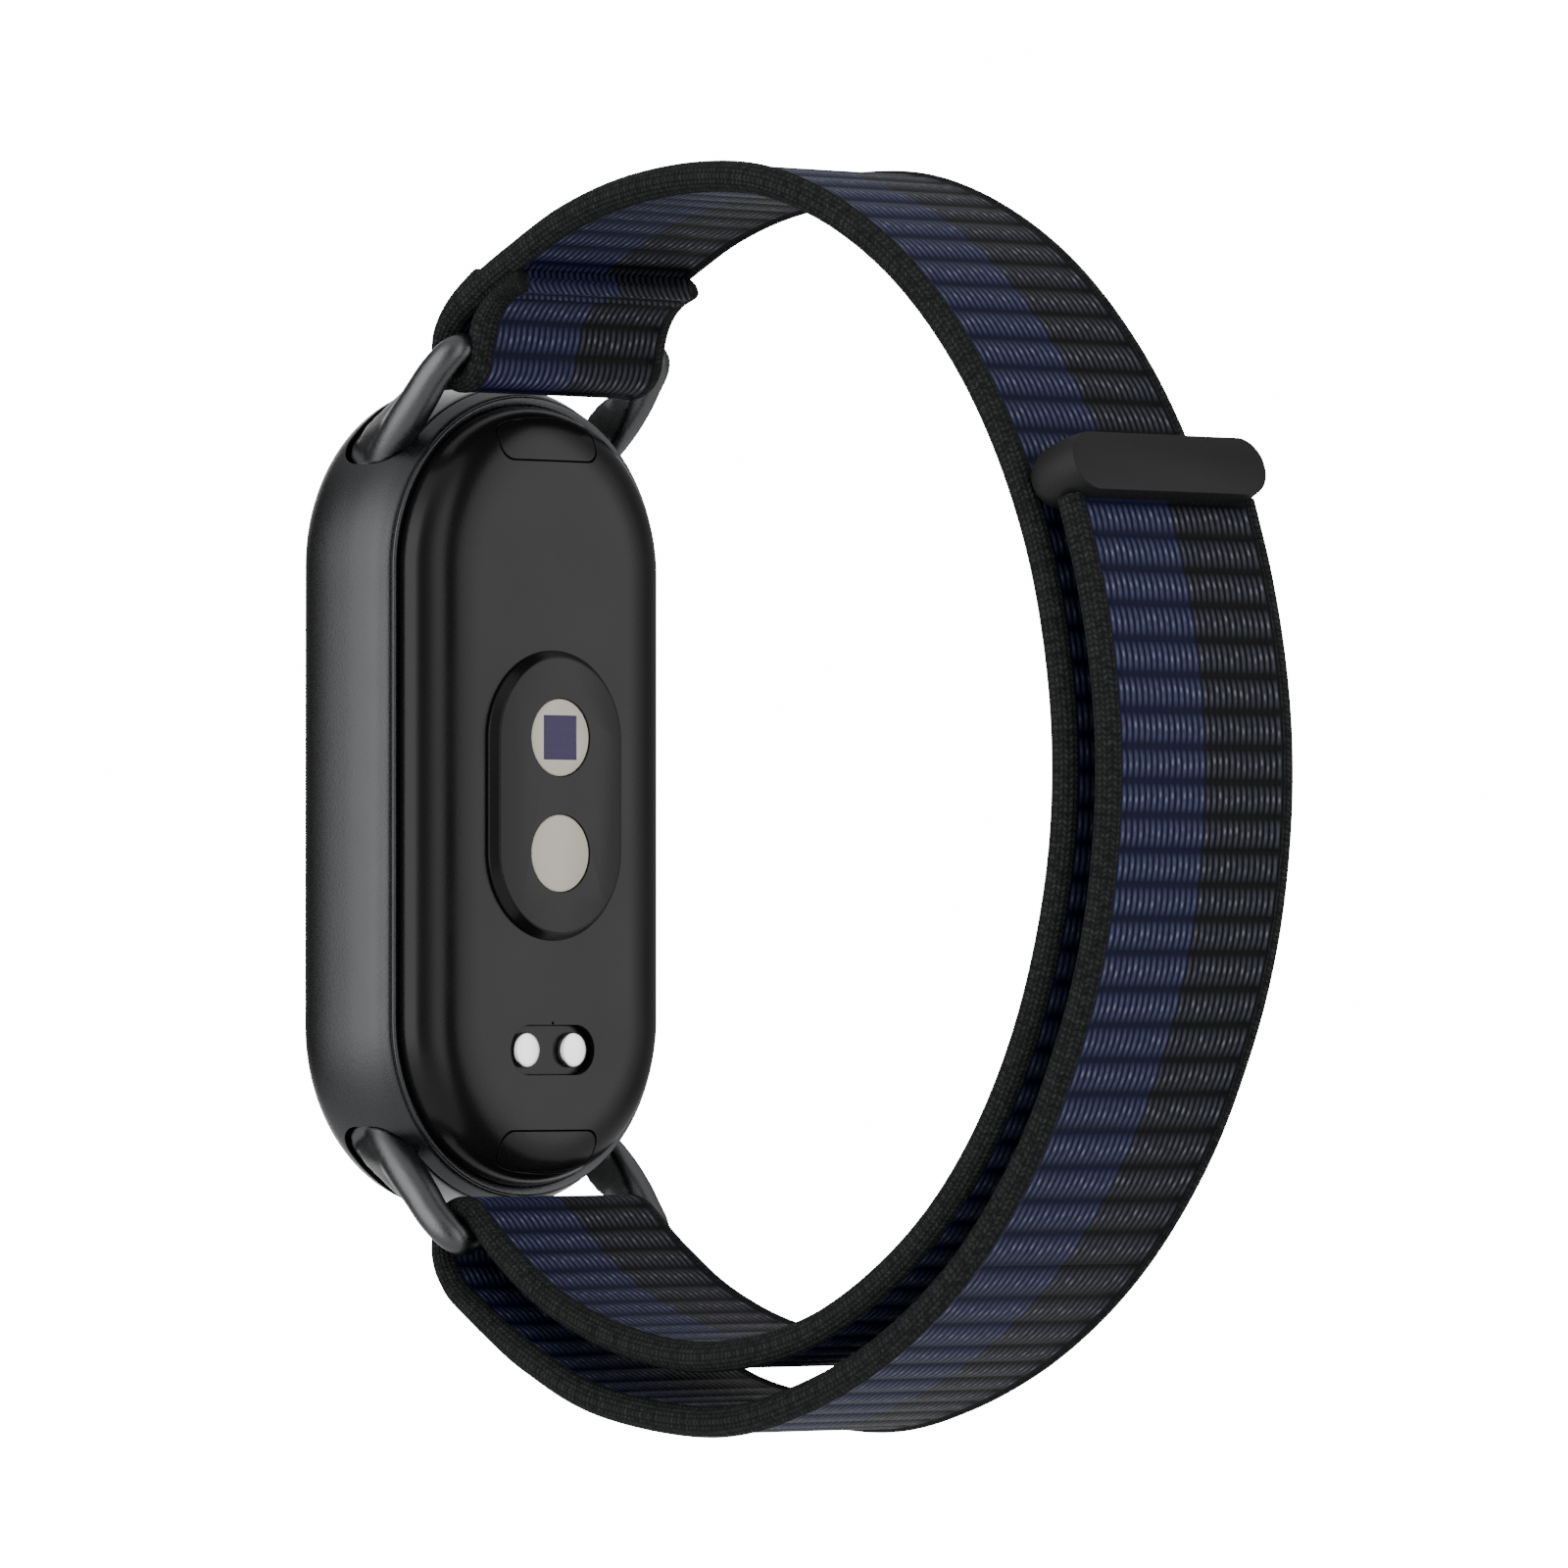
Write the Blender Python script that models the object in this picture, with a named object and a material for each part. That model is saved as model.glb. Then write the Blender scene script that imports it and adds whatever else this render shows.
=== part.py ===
"""Fitness tracker band: a pill-shaped tracker worn on a woven hook-and-loop strap.

Frame, in metres: the wrist passes through the loop along X, through the origin.
The display faces -Y, its rear sensor faces the wrist (+Y), and +Z runs up the
length of the case. Everything is symmetric about the plane X = 0.
"""
import math

import bmesh
import bpy
from mathutils import Matrix, Vector

MM = 0.001

# Case: every level of it is a stadium, a rounded end on each side of a straight run
CASE_STRAIGHT = 13.75 * MM      # from the centre to the middle of each round end
BELLY_RADIUS = 11.5 * MM        # the widest line of the case side
REAR_Y = -25.0 * MM             # flat of the rear cover
RIM_Y = -27.5 * MM
FRONT_LIP_Y = -36.1 * MM
CAVITY_RADIUS = 9.3 * MM
FRONT_GROWTH = 0.4 * MM         # added to the straight run at the front
STADIUM_STEPS = 16              # segments in each round end

# Rear cover and what shows in it
COVER_RADIUS = 10.2 * MM
COVER_FLAT_RADIUS = 5.65 * MM
DOME_POWER = 2.4                # 2 would be an ellipse
SENSOR_STRAIGHT = 3.45 * MM
WINDOW_RADIUS = 2.33 * MM
WINDOW_Z = 3.55 * MM
CONTACT_RADIUS = 1.08 * MM
CONTACT_X = 1.92 * MM
CONTACT_Z = -15.6 * MM
INSERT_STRAIGHT = 1.9 * MM
INSERT_RADIUS = 1.5 * MM
INSERT_FLOOR_Y = -25.6 * MM

# Release buttons: a straight side towards the middle, an arc towards the end
BUTTON_HALF_WIDTH = 3.87 * MM
BUTTON_FLAT_Z = 20.6 * MM
BUTTON_TIP_Z = 23.1 * MM
BUTTON_BOTTOM_Y = -27.2 * MM
BUTTON_GAP = 0.1 * MM
LATCH_Z = 21.65 * MM

# Strap connectors
FOOT_FLOOR_RADIUS = 10.12 * MM
FOOT_FRONT_Y = -34.25 * MM
FOOT_REAR_Y = -28.75 * MM
FOOT_OUTER_RADIUS = 11.46 * MM
FOOT_START = math.radians(34.5)  # where each side of the pocket begins, up from the X axis
BAR_Y = -25.45 * MM
BAR_Z = 27.0 * MM
BAR_RADIUS = 0.82 * MM
TONGUE_HALF_WIDTH = 2.0 * MM

# Strap
STRAP_HALF_WIDTH = 7.75 * MM
STRAP_HALF_THICKNESS = 0.8 * MM
STRAP_TURN = 1.75 * MM          # radius of the strap's centre line round a bar
STRAP_GAP = 0.3 * MM            # between two lengths of strap on different bodies
HOOK_PAD_HALF_WIDTH = 6.0 * MM
HOOK_PAD_THICKNESS = 1.0 * MM
TAB_HALF_WIDTH = 8.15 * MM
TAB_HALF_LENGTH = 1.65 * MM
TAB_HALF_THICKNESS = 1.95 * MM

# The strap's centre line, as (Y, Z) in millimetres
UPPER_FOLD = [(-19.75, 31.2), (-20.6, 30.85), (-21.5, 30.4), (-22.25, 29.85),
              (-22.9, 29.15), (-23.35, 28.3)]
FOLD_THICKNESS = [0.7, 0.62, 0.5, 0.52, 0.68, 0.8]   # half of it, at the points above
UPPER_LEG = [(-26.95, 28.2), (-26.05, 29.45), (-24.5, 30.55), (-20.8, 32.5), (-16.0, 34.7),
             (-10.5, 36.15), (-4.0, 36.7)]
BACK = [(-4.0, 36.7), (2.0, 36.1), (8.2, 33.8), (14.0, 30.0), (19.2, 24.6), (23.2, 18.2),
        (25.9, 11.0), (27.2, 2.5), (26.6, -5.9), (23.9, -14.6), (19.4, -22.1), (13.4, -27.9),
        (5.6, -32.2), (-3.0, -33.85)]
LOWER_INNER = [(-3.0, -33.85), (-10.3, -33.15), (-16.5, -31.1), (-21.0, -28.4)]
LOWER_OUTER = [(-27.2, -28.2), (-26.6, -29.5), (-24.95, -31.0), (-19.0, -34.4), (-12.5, -36.8),
               (-3.0, -37.75)]
TAIL_ROOT = [(-3.0, -37.75), (4.5, -36.3), (11.9, -33.1), (18.6, -28.2), (24.0, -21.8),
             (27.6, -15.0)]
TAIL_MIDDLE = [(27.6, -15.0), (29.6, -9.2), (30.6, -3.4), (30.8, 2.0)]
TAIL_END = [(30.8, 2.0), (30.3, 7.0), (29.2, 12.0), (27.55, 17.0)]
TAB_CENTRE = (26.95, 18.35)

# Points on the axes of the moving parts, as (Y, Z) in millimetres
PEEL_PIVOT = (27.98, -15.13)    # in the strap's outer half, where the tail lifts
CURL_PIVOT = (31.2, 2.0)
RELEASE_LINE = (-31.5, 24.0)    # the connectors slide along Z
BUTTON_LINE = (-29.5, 21.65)    # the buttons slide along Y


# ---------------------------------------------------------------- helpers

def clear_scene():
    for obj in list(bpy.data.objects):
        bpy.data.objects.remove(obj, do_unlink=True)


def material(name, colour, roughness, metallic=0.0):
    mat = bpy.data.materials.get(name)
    if mat is None:
        mat = bpy.data.materials.new(name)
        mat.use_nodes = True
        shader = mat.node_tree.nodes["Principled BSDF"]
        shader.inputs["Base Color"].default_value = (*colour, 1.0)
        shader.inputs["Roughness"].default_value = roughness
        shader.inputs["Metallic"].default_value = metallic
    return mat


def add_object(name, bm, mat):
    bmesh.ops.recalc_face_normals(bm, faces=bm.faces)
    mesh = bpy.data.meshes.new(name)
    bm.to_mesh(mesh)
    bm.free()
    mesh.materials.append(mat)
    mesh.shade_smooth()
    mesh.set_sharp_from_angle(angle=math.radians(35))
    obj = bpy.data.objects.new(name, mesh)
    bpy.context.scene.collection.objects.link(obj)
    return obj


def as_tool(obj):
    obj.hide_render = True
    obj.display_type = "WIRE"
    return obj


def boolean(obj, operation, tool):
    as_tool(tool)
    modifier = obj.modifiers.new(f"{operation.lower()} {tool.name}", "BOOLEAN")
    modifier.operation = operation
    modifier.solver = "EXACT"
    modifier.object = tool


def move_origin(obj, point):
    """Puts the object's origin on its joint's axis and leaves its surface where it is."""
    obj.data.transform(Matrix.Translation(-Vector(point)))
    obj.location = point


def loft(rings, closed=False):
    """Joins rings of equal length; capped at both ends, or joined end to end when closed."""
    bm = bmesh.new()
    rows = [[bm.verts.new(p) for p in ring] for ring in rings]
    count = len(rows[0])
    pairs = list(zip(rows, rows[1:]))
    if closed:
        pairs.append((rows[-1], rows[0]))
    for a, b in pairs:
        for i in range(count):
            j = (i + 1) % count
            bm.faces.new((a[i], a[j], b[j], b[i]))
    if not closed:
        bm.faces.new(reversed(rows[0]))
        bm.faces.new(rows[-1])
    return bm


def stadium(radius, y, straight=CASE_STRAIGHT, centre=(0.0, 0.0), steps=STADIUM_STEPS, along="Z"):
    ring = []
    for sign in (1, -1):
        for i in range(steps + 1):
            angle = math.pi * i / steps
            across = sign * radius * math.cos(angle)
            length = sign * (straight + radius * math.sin(angle))
            if along == "Z":
                ring.append((centre[0] + across, y, centre[1] + length))
            else:
                ring.append((centre[0] + length, y, centre[1] - across))
    return ring


def stadium_stack(name, profile, mat, closed=False, **shape):
    """A solid whose outline at each (radius, y) of the profile is a stadium."""
    return add_object(name, loft([stadium(r, y, **shape) for r, y in profile], closed), mat)


def disc_stack(name, profile, mat, centre, steps=20):
    """A turned solid on an axis along Y; the profile lists (radius, y)."""
    rings = []
    for radius, y in profile:
        angles = [2 * math.pi * i / steps for i in range(steps)]
        rings.append([(centre[0] + radius * math.cos(a), y, centre[1] + radius * math.sin(a))
                      for a in angles])
    return add_object(name, loft(rings), mat)


def box(name, low, high, mat, bevel=0.0):
    bm = bmesh.new()
    bmesh.ops.create_cube(bm, size=1.0)
    size = Vector(high) - Vector(low)
    middle = (Vector(high) + Vector(low)) / 2
    bmesh.ops.scale(bm, vec=size, verts=bm.verts)
    bmesh.ops.translate(bm, vec=middle, verts=bm.verts)
    if bevel:
        bmesh.ops.bevel(bm, geom=bm.edges, offset=bevel, segments=2, profile=0.5,
                        affect="EDGES")
    return add_object(name, bm, mat)


def smooth_path(points, step):
    """Points about one step apart on a Catmull-Rom curve through (Y, Z) millimetre points."""
    pts = [Vector(p) * MM for p in points]
    pts = [2 * pts[0] - pts[1]] + pts + [2 * pts[-1] - pts[-2]]
    path = []
    for p0, p1, p2, p3 in zip(pts, pts[1:], pts[2:], pts[3:]):
        count = max(1, round((p2 - p1).length / step))
        for i in range(count):
            t = i / count
            path.append(0.5 * (2 * p1 + (p2 - p0) * t + (2 * p0 - 5 * p1 + 4 * p2 - p3) * t ** 2
                               + (3 * p1 - 3 * p2 + p3 - p0) * t ** 3))
    path.append(pts[-2])
    return path


def turn_round_bar(bar_z, start, end, steps=8):
    """The strap's centre line round a bar, between two angles in degrees."""
    path = []
    for i in range(steps + 1):
        angle = math.radians(start + (end - start) * i / steps)
        path.append(Vector((BAR_Y + STRAP_TURN * math.cos(angle),
                            bar_z + STRAP_TURN * math.sin(angle))))
    return path


def shorten(path, start=0.0, end=0.0):
    """Takes a length off either end of a path."""
    path = list(path)
    for amount, first, second in ((start, 0, 1), (end, -1, -2)):
        if amount:
            path[first] = path[first] + (path[second] - path[first]).normalized() * amount
    return path


def strap_section(half_width, half_thickness, round_edges):
    if not round_edges:
        right = [(half_width, half_thickness), (half_width, -half_thickness)]
    else:
        radius = half_thickness * 0.98
        right = [(half_width - radius + radius * math.cos(math.radians(a)),
                  half_thickness * math.sin(math.radians(a))) for a in (90, 45, 0, -45, -90)]
    return right + [(-x, t) for x, t in reversed(right)]


def ribbon(name, path, half_width, half_thickness, mat, offset=0.0, round_edges=True,
           start_thickness=()):
    """A flat solid whose centre line lies in the Y-Z plane; its first rings can be thinner."""
    rings = []
    for i, point in enumerate(path):
        tangent = (path[min(i + 1, len(path) - 1)] - path[max(i - 1, 0)]).normalized()
        normal = Vector((-tangent.y, tangent.x))
        thickness = start_thickness[i] if i < len(start_thickness) else half_thickness
        section = strap_section(half_width, thickness, round_edges)
        rings.append([(x, *(point + normal * (t + offset))) for x, t in section])
    return add_object(name, loft(rings), mat)


# ---------------------------------------------------------------- case

def dome_y(radius):
    """Height of the rear cover's rounded edge at a stadium radius."""
    t = max(0.0, (radius - COVER_FLAT_RADIUS) / (COVER_RADIUS - COVER_FLAT_RADIUS))
    edge = RIM_Y + 0.05 * MM
    return edge + (REAR_Y - edge) * max(0.0, 1 - t ** DOME_POWER) ** (1 / DOME_POWER)


def dome_profile():
    fractions = (1.0, 0.98, 0.93, 0.85, 0.72, 0.55, 0.35, 0.15, 0.0)
    radii = [COVER_FLAT_RADIUS + f * (COVER_RADIUS - COVER_FLAT_RADIUS) for f in fractions]
    return [(r, dome_y(r)) for r in radii]


def wrapped_pad(name, grow, outer_radius, mat):
    """The foot's shape: a pad wrapped round a case end, with rounded corners."""
    rings = []
    steps = 28
    start = FOOT_START - grow / BELLY_RADIUS
    corner = 2.3 * MM
    middle = (FOOT_FRONT_Y + FOOT_REAR_Y) / 2
    half = (FOOT_REAR_Y - FOOT_FRONT_Y) / 2 + grow
    sweep = math.pi - 2 * start
    for i in range(steps + 1):
        eased = 0.5 - 0.5 * math.cos(math.pi * i / steps)
        angle = start + sweep * eased
        from_end = min(eased, 1 - eased) * sweep * BELLY_RADIUS
        short = max(0.0, 1 - from_end / corner)
        width = half - corner * (1 - math.sqrt(max(0.0, 1 - short * short)))
        ring = []
        for radius, y in ((FOOT_FLOOR_RADIUS - grow, -width), (FOOT_FLOOR_RADIUS - grow, width),
                          (outer_radius, width), (outer_radius, -width)):
            ring.append((radius * math.cos(angle), middle + y,
                         CASE_STRAIGHT + radius * math.sin(angle)))
        rings.append(ring)
    return add_object(name, loft(rings), mat)


def mirror_down(obj, name):
    """A copy for the lower end of the case."""
    bm = bmesh.new()
    bm.from_mesh(obj.data)
    bmesh.ops.scale(bm, vec=(1, 1, -1), verts=bm.verts)
    bmesh.ops.reverse_faces(bm, faces=bm.faces)
    return add_object(name, bm, obj.data.materials[0])


def frame_straight(radius, y):
    """The outside of the case gets longer towards the front; its hollow doesn't."""
    if radius < CAVITY_RADIUS + 0.4 * MM:
        return CASE_STRAIGHT
    forward = (RIM_Y - y) / (RIM_Y - FRONT_LIP_Y)
    return CASE_STRAIGHT + FRONT_GROWTH * min(1.0, max(0.0, forward))


def case_frame(mat, tool_mat):
    profile = [(10.35, -27.5), (10.85, -27.45), (10.95, -27.62), (10.8, -27.78), (10.8, -27.92),
               (11.1, -28.05), (11.35, -28.9), (11.5, -30.5), (11.5, -32.5), (11.35, -34.0),
               (11.1, -35.0), (10.75, -35.6), (10.2, -36.05), (9.9, -36.1), (9.72, -36.0),
               (9.72, -35.0), (8.9, -35.0), (8.9, -34.35), (9.3, -34.35), (9.3, -28.2),
               (10.35, -28.2)]
    rings = [stadium(r * MM, y * MM, frame_straight(r * MM, y * MM)) for r, y in profile]
    frame = add_object("case_frame", loft(rings, closed=True), mat)
    pocket = wrapped_pad("upper_pocket", 0.12 * MM, 14.0 * MM, tool_mat)
    slot = box("upper_tongue_slot", (-2.3 * MM, -31.25 * MM, 21.5 * MM),
               (2.3 * MM, -29.75 * MM, 25.5 * MM), tool_mat)
    for tool in (pocket, slot):
        boolean(frame, "DIFFERENCE", tool)
        boolean(frame, "DIFFERENCE", mirror_down(tool, tool.name.replace("upper", "lower")))
    return frame


def rear_cover(mat, tool_mat):
    inside = [(5.3, -26.0), (7.6, -26.35), (8.9, -27.1), (9.2, -27.9), (10.2, -27.9)]
    rings = [stadium(r * MM, y * MM) for r, y in inside]
    rings += [stadium(r, y) for r, y in dome_profile()]
    cover = add_object("rear_cover", loft(rings), mat)
    hole = stadium_stack("sensor_hole", [(4.55 * MM, -27.0 * MM), (4.55 * MM, -24.0 * MM)],
                         tool_mat, straight=SENSOR_STRAIGHT)
    recess = stadium_stack("contact_hole",
                           [(INSERT_RADIUS + 0.1 * MM, -27.0 * MM),
                            (INSERT_RADIUS + 0.1 * MM, -24.0 * MM)],
                           tool_mat, straight=INSERT_STRAIGHT, centre=(0.0, CONTACT_Z), steps=8,
                           along="X")
    vent = disc_stack("vent_hole", [(0.25 * MM, -27.0 * MM), (0.25 * MM, -24.0 * MM)], tool_mat,
                      (0.0, -13.5 * MM), steps=12)
    for tool in (hole, recess, vent):
        boolean(cover, "DIFFERENCE", tool)
    upper = button_prism("upper_button_hole", BUTTON_GAP, -28.5 * MM, -24.5 * MM, tool_mat)
    boolean(cover, "DIFFERENCE", upper)
    boolean(cover, "DIFFERENCE", mirror_down(upper, "lower_button_hole"))
    return cover


def button_prism(name, grow, low_y, high_y, mat):
    """The release button's outline: flat towards the centre, curved towards the end."""
    half = BUTTON_HALF_WIDTH + grow
    flat = BUTTON_FLAT_Z - grow
    shoulder = BUTTON_TIP_Z - 1.1 * MM
    tip = BUTTON_TIP_Z + grow
    corner = 0.9 * MM
    outline = []
    for i in range(5):
        angle = math.radians(180 + 90 * i / 4)
        outline.append((-half + corner + corner * math.cos(angle),
                        flat + corner + corner * math.sin(angle)))
    for i in range(5):
        angle = math.radians(270 + 90 * i / 4)
        outline.append((half - corner + corner * math.cos(angle),
                        flat + corner + corner * math.sin(angle)))
    for i in range(9):
        angle = math.pi * i / 8
        outline.append((half * math.cos(angle),
                        shoulder + (tip - shoulder) * math.sin(angle) ** 0.8))
    rings = [[(x, y, z) for x, z in outline] for y in (low_y, high_y)]
    return add_object(name, loft(rings), mat)


def front_parts(glass, seal, screen, ribbon_mat):
    profile = [(9.55, -35.3), (9.6, -35.4), (9.6, -35.95), (9.2, -36.2), (8.3, -36.38),
               (6.5, -36.5), (3.5, -36.6)]
    stadium_stack("front_glass", [(r * MM, y * MM) for r, y in profile], glass)
    ring = [(9.05, -35.1), (9.55, -35.1), (9.55, -35.22), (9.05, -35.22)]
    stadium_stack("front_seal", [(r * MM, y * MM) for r, y in ring], seal, closed=True)
    stadium_stack("display_panel", [(8.6 * MM, -35.2 * MM), (8.6 * MM, -34.4 * MM)], screen)
    path = [Vector(p) * MM for p in ((-34.15, -16.5), (-34.15, -19.3), (-33.9, -19.6),
                                     (-30.1, -19.6), (-29.85, -19.35), (-29.85, -18.95))]
    ribbon("display_flex", path, 3.0 * MM, 0.075 * MM, ribbon_mat, round_edges=False)


def rear_seal(mat):
    ring = [(9.5, -28.0), (10.0, -28.0), (10.0, -28.12), (9.5, -28.12)]
    stadium_stack("rear_seal", [(r * MM, y * MM) for r, y in ring], mat, closed=True)


# ---------------------------------------------------------------- sensors and contacts

def sensor_parts(black, window_mat, board_mat, purple, green, red, tool_mat):
    profile = [(4.4, -26.2), (4.4, -24.93), (5.45, -24.93), (5.4, -24.75), (5.1, -24.36),
               (4.95, -24.27)]
    cover = stadium_stack("sensor_cover", [(r * MM, y * MM) for r, y in profile], black,
                          straight=SENSOR_STRAIGHT)
    for name, z in (("upper", WINDOW_Z), ("lower", -WINDOW_Z)):
        hole = disc_stack(f"{name}_window_hole",
                          [(WINDOW_RADIUS + 0.05 * MM, -27.0 * MM),
                           (WINDOW_RADIUS + 0.05 * MM, -24.0 * MM)], tool_mat, (0.0, z), 32)
        boolean(cover, "DIFFERENCE", hole)
        disc_stack(f"{name}_sensor_window",
                   [(WINDOW_RADIUS, -24.95 * MM), (WINDOW_RADIUS, -24.4 * MM),
                    (WINDOW_RADIUS - 0.06 * MM, -24.34 * MM)], window_mat, (0.0, z), 32)
    box("photodiode", (-1.375 * MM, -25.7 * MM, WINDOW_Z - 1.375 * MM),
        (1.375 * MM, -25.15 * MM, WINDOW_Z + 1.375 * MM), purple)
    for name, x, mat in (("green_led", -0.85 * MM, green), ("red_led", 0.85 * MM, red)):
        box(name, (x - 0.55 * MM, -25.8 * MM, -WINDOW_Z - 0.55 * MM),
            (x + 0.55 * MM, -25.3 * MM, -WINDOW_Z + 0.55 * MM), mat)
    stadium_stack("sensor_board", [(4.2 * MM, -27.0 * MM), (4.2 * MM, -26.4 * MM)], board_mat,
                  straight=SENSOR_STRAIGHT)


def contact_parts(insert_mat, gold, tool_mat):
    profile = [(INSERT_RADIUS + 0.7 * MM, -26.9 * MM), (INSERT_RADIUS + 0.7 * MM, -26.1 * MM),
               (INSERT_RADIUS, -26.1 * MM), (INSERT_RADIUS, INSERT_FLOOR_Y)]
    insert = stadium_stack("contact_insert", profile, insert_mat, straight=INSERT_STRAIGHT,
                           centre=(0.0, CONTACT_Z), steps=8, along="X")
    for name, x in (("left", CONTACT_X), ("right", -CONTACT_X)):
        hole = disc_stack(f"{name}_contact_hole",
                          [(0.65 * MM, -27.5 * MM), (0.65 * MM, -25.0 * MM)], tool_mat,
                          (x, CONTACT_Z), 16)
        boolean(insert, "DIFFERENCE", hole)
        profile = [(0.55 * MM, -28.7 * MM), (0.55 * MM, -25.55 * MM), (CONTACT_RADIUS, -25.55 * MM),
                   (CONTACT_RADIUS, -25.25 * MM), (CONTACT_RADIUS - 0.15 * MM, -25.15 * MM)]
        disc_stack(f"{name}_charge_contact", profile, gold, (x, CONTACT_Z), 24)


# ---------------------------------------------------------------- inside the case

def screw_places():
    return [(x, z) for x in (-7.75, 7.75) for z in (-8.5, 8.5)]


def inner_parts(plastic, board_mat, steel, foil, tool_mat):
    chassis = stadium_stack("chassis", [(9.0 * MM, -33.95 * MM), (9.0 * MM, -33.45 * MM)],
                            plastic, straight=10.0 * MM)
    board = stadium_stack("main_board", [(8.8 * MM, -29.6 * MM), (8.8 * MM, -28.95 * MM)],
                          board_mat, straight=9.6 * MM)
    for number, (x, z) in enumerate(screw_places(), 1):
        place = (x * MM, z * MM)
        post = disc_stack(f"post_{number}", [(1.1 * MM, -33.7 * MM), (1.1 * MM, -29.8 * MM)],
                          plastic, place, 14)
        boolean(chassis, "UNION", post)
        hole = disc_stack(f"screw_hole_{number}", [(0.62 * MM, -33.0 * MM), (0.62 * MM, -28.0 * MM)],
                          tool_mat, place, 14)
        boolean(chassis, "DIFFERENCE", hole)
        boolean(board, "DIFFERENCE", hole)
        profile = [(0.5 * MM, -32.8 * MM), (0.5 * MM, -28.85 * MM), (1.0 * MM, -28.85 * MM),
                   (1.0 * MM, -28.5 * MM), (0.8 * MM, -28.35 * MM)]
        disc_stack(f"board_screw_{number}", profile, steel, place, 14)
    box("battery", (-6.4 * MM, -33.2 * MM, -10.4 * MM), (6.4 * MM, -29.8 * MM, 16.4 * MM), foil,
        bevel=0.5 * MM)
    box("shield_can", (-5.0 * MM, -28.75 * MM, 9.2 * MM), (5.0 * MM, -27.4 * MM, 15.6 * MM),
        steel, bevel=0.15 * MM)
    disc_stack("vibration_motor", [(3.7 * MM, -33.1 * MM), (3.9 * MM, -32.9 * MM),
                                   (3.9 * MM, -30.6 * MM), (3.7 * MM, -30.4 * MM)], steel,
               (0.0, -14.8 * MM), 28)


# ---------------------------------------------------------------- connectors and their release

# Each row is one section of an arm, in millimetres: the front and the rear edge of its flat
# inner face as (Y, Z), the X of that face, and how far the outer ridge stands out from it
ARM_SECTIONS = [((-32.7, 20.7), (-30.3, 20.7), 8.55, 0.75),
                ((-33.6, 21.5), (-29.2, 21.5), 8.3, 1.2),
                ((-33.2, 22.5), (-28.0, 22.4), 8.0, 1.75),
                ((-31.7, 23.5), (-26.9, 23.3), 7.92, 1.75),
                ((-29.6, 24.7), (-25.8, 24.5), 7.92, 1.6),
                ((-28.2, 25.8), (-24.95, 25.35), 7.92, 1.55),
                ((-26.95, 26.75), (-24.55, 26.15), 7.9, 1.5)]

# A wedge-like section, from the rear edge over the outer ridge to the front edge and back
# along the inner face: the part of the way from front to rear, and the part of the ridge
ARM_OUTLINE = [(1.0, 0.2), (0.97, 0.5), (0.9, 0.78), (0.79, 0.96), (0.66, 1.0), (0.5, 0.9),
               (0.34, 0.72), (0.15, 0.47), (0.02, 0.24), (0.0, 0.1), (0.06, 0.0), (0.22, -0.02),
               (0.42, -0.03), (0.62, -0.03), (0.82, -0.01), (0.96, 0.05)]


def arm_ring(front, rear, x_inner, ridge):
    front, rear = Vector(front), Vector(rear)
    return [Vector((x_inner + ridge * out, *front.lerp(rear, along))) * MM
            for along, out in ARM_OUTLINE]


def bar_ring(x, centre, radius, lean):
    """A round section; lean turns its plane from across the arm (0) to across the bar (1)."""
    rear_way = Vector((0.0, 0.94, -0.34))
    up_way = Vector((1.0 - lean, 0.34 * lean, 0.94 * lean)).normalized()
    ring = []
    for k in range(len(ARM_OUTLINE)):
        angle = 2 * math.pi * k / len(ARM_OUTLINE)
        ring.append(Vector((x, *centre)) + (rear_way * math.cos(angle)
                                            + up_way * math.sin(angle)) * radius)
    return ring


def bail(name, mat):
    """Both arms and the bar between them, swept as one loop and mirrored about X = 0."""
    rings = [arm_ring(*section) for section in ARM_SECTIONS]
    bar = Vector((BAR_Y, BAR_Z))
    rings.append(bar_ring(8.35 * MM, bar + Vector((-0.05 * MM, -0.2 * MM)), 0.9 * MM, 0.45))
    rings.append(bar_ring(7.75 * MM, bar, 0.86 * MM, 0.8))
    for x in (7.2 * MM, 0.0):
        rings.append(bar_ring(x, bar, BAR_RADIUS, 1.0))
    other = [[Vector((-p.x, p.y, p.z)) for p in ring] for ring in reversed(rings[:-1])]
    return add_object(name, loft(rings + other), mat)


def tongue_solid(tool_mat):
    """Reaches into the case; a notch in it holds the latch, and its tip is a ramp."""
    outline = [(-31.0, 24.6), (-30.0, 24.6), (-30.0, 20.02), (-30.9, 20.02), (-30.5, 21.35),
               (-30.5, 22.1), (-31.0, 22.1)]
    rings = [[(x, y * MM, z * MM) for y, z in outline]
             for x in (-TONGUE_HALF_WIDTH, TONGUE_HALF_WIDTH)]
    return add_object("upper_tongue", loft(rings), tool_mat)


def connector(mat, tool_mat):
    foot = wrapped_pad("upper_connector", 0.0, FOOT_OUTER_RADIUS, mat)
    parts = [bail("upper_bail", tool_mat), tongue_solid(tool_mat)]
    lower = mirror_down(foot, "lower_connector")
    for tool in parts:
        boolean(foot, "UNION", tool)
        boolean(lower, "UNION", mirror_down(tool, tool.name.replace("upper", "lower")))


def button(mat, tool_mat):
    """A cap flush with the rear cover's dome; the dome is what its top is cut to."""
    cap = button_prism("upper_release_button", 0.0, BUTTON_BOTTOM_Y, -24.5 * MM, mat)
    rings = [stadium(COVER_RADIUS, -28.5 * MM)] + [stadium(r, y) for r, y in dome_profile()]
    lower = mirror_down(cap, "lower_release_button")
    dome = add_object("cover_dome", loft(rings), tool_mat)
    for obj in (cap, lower):
        boolean(obj, "INTERSECT", dome)


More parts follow.
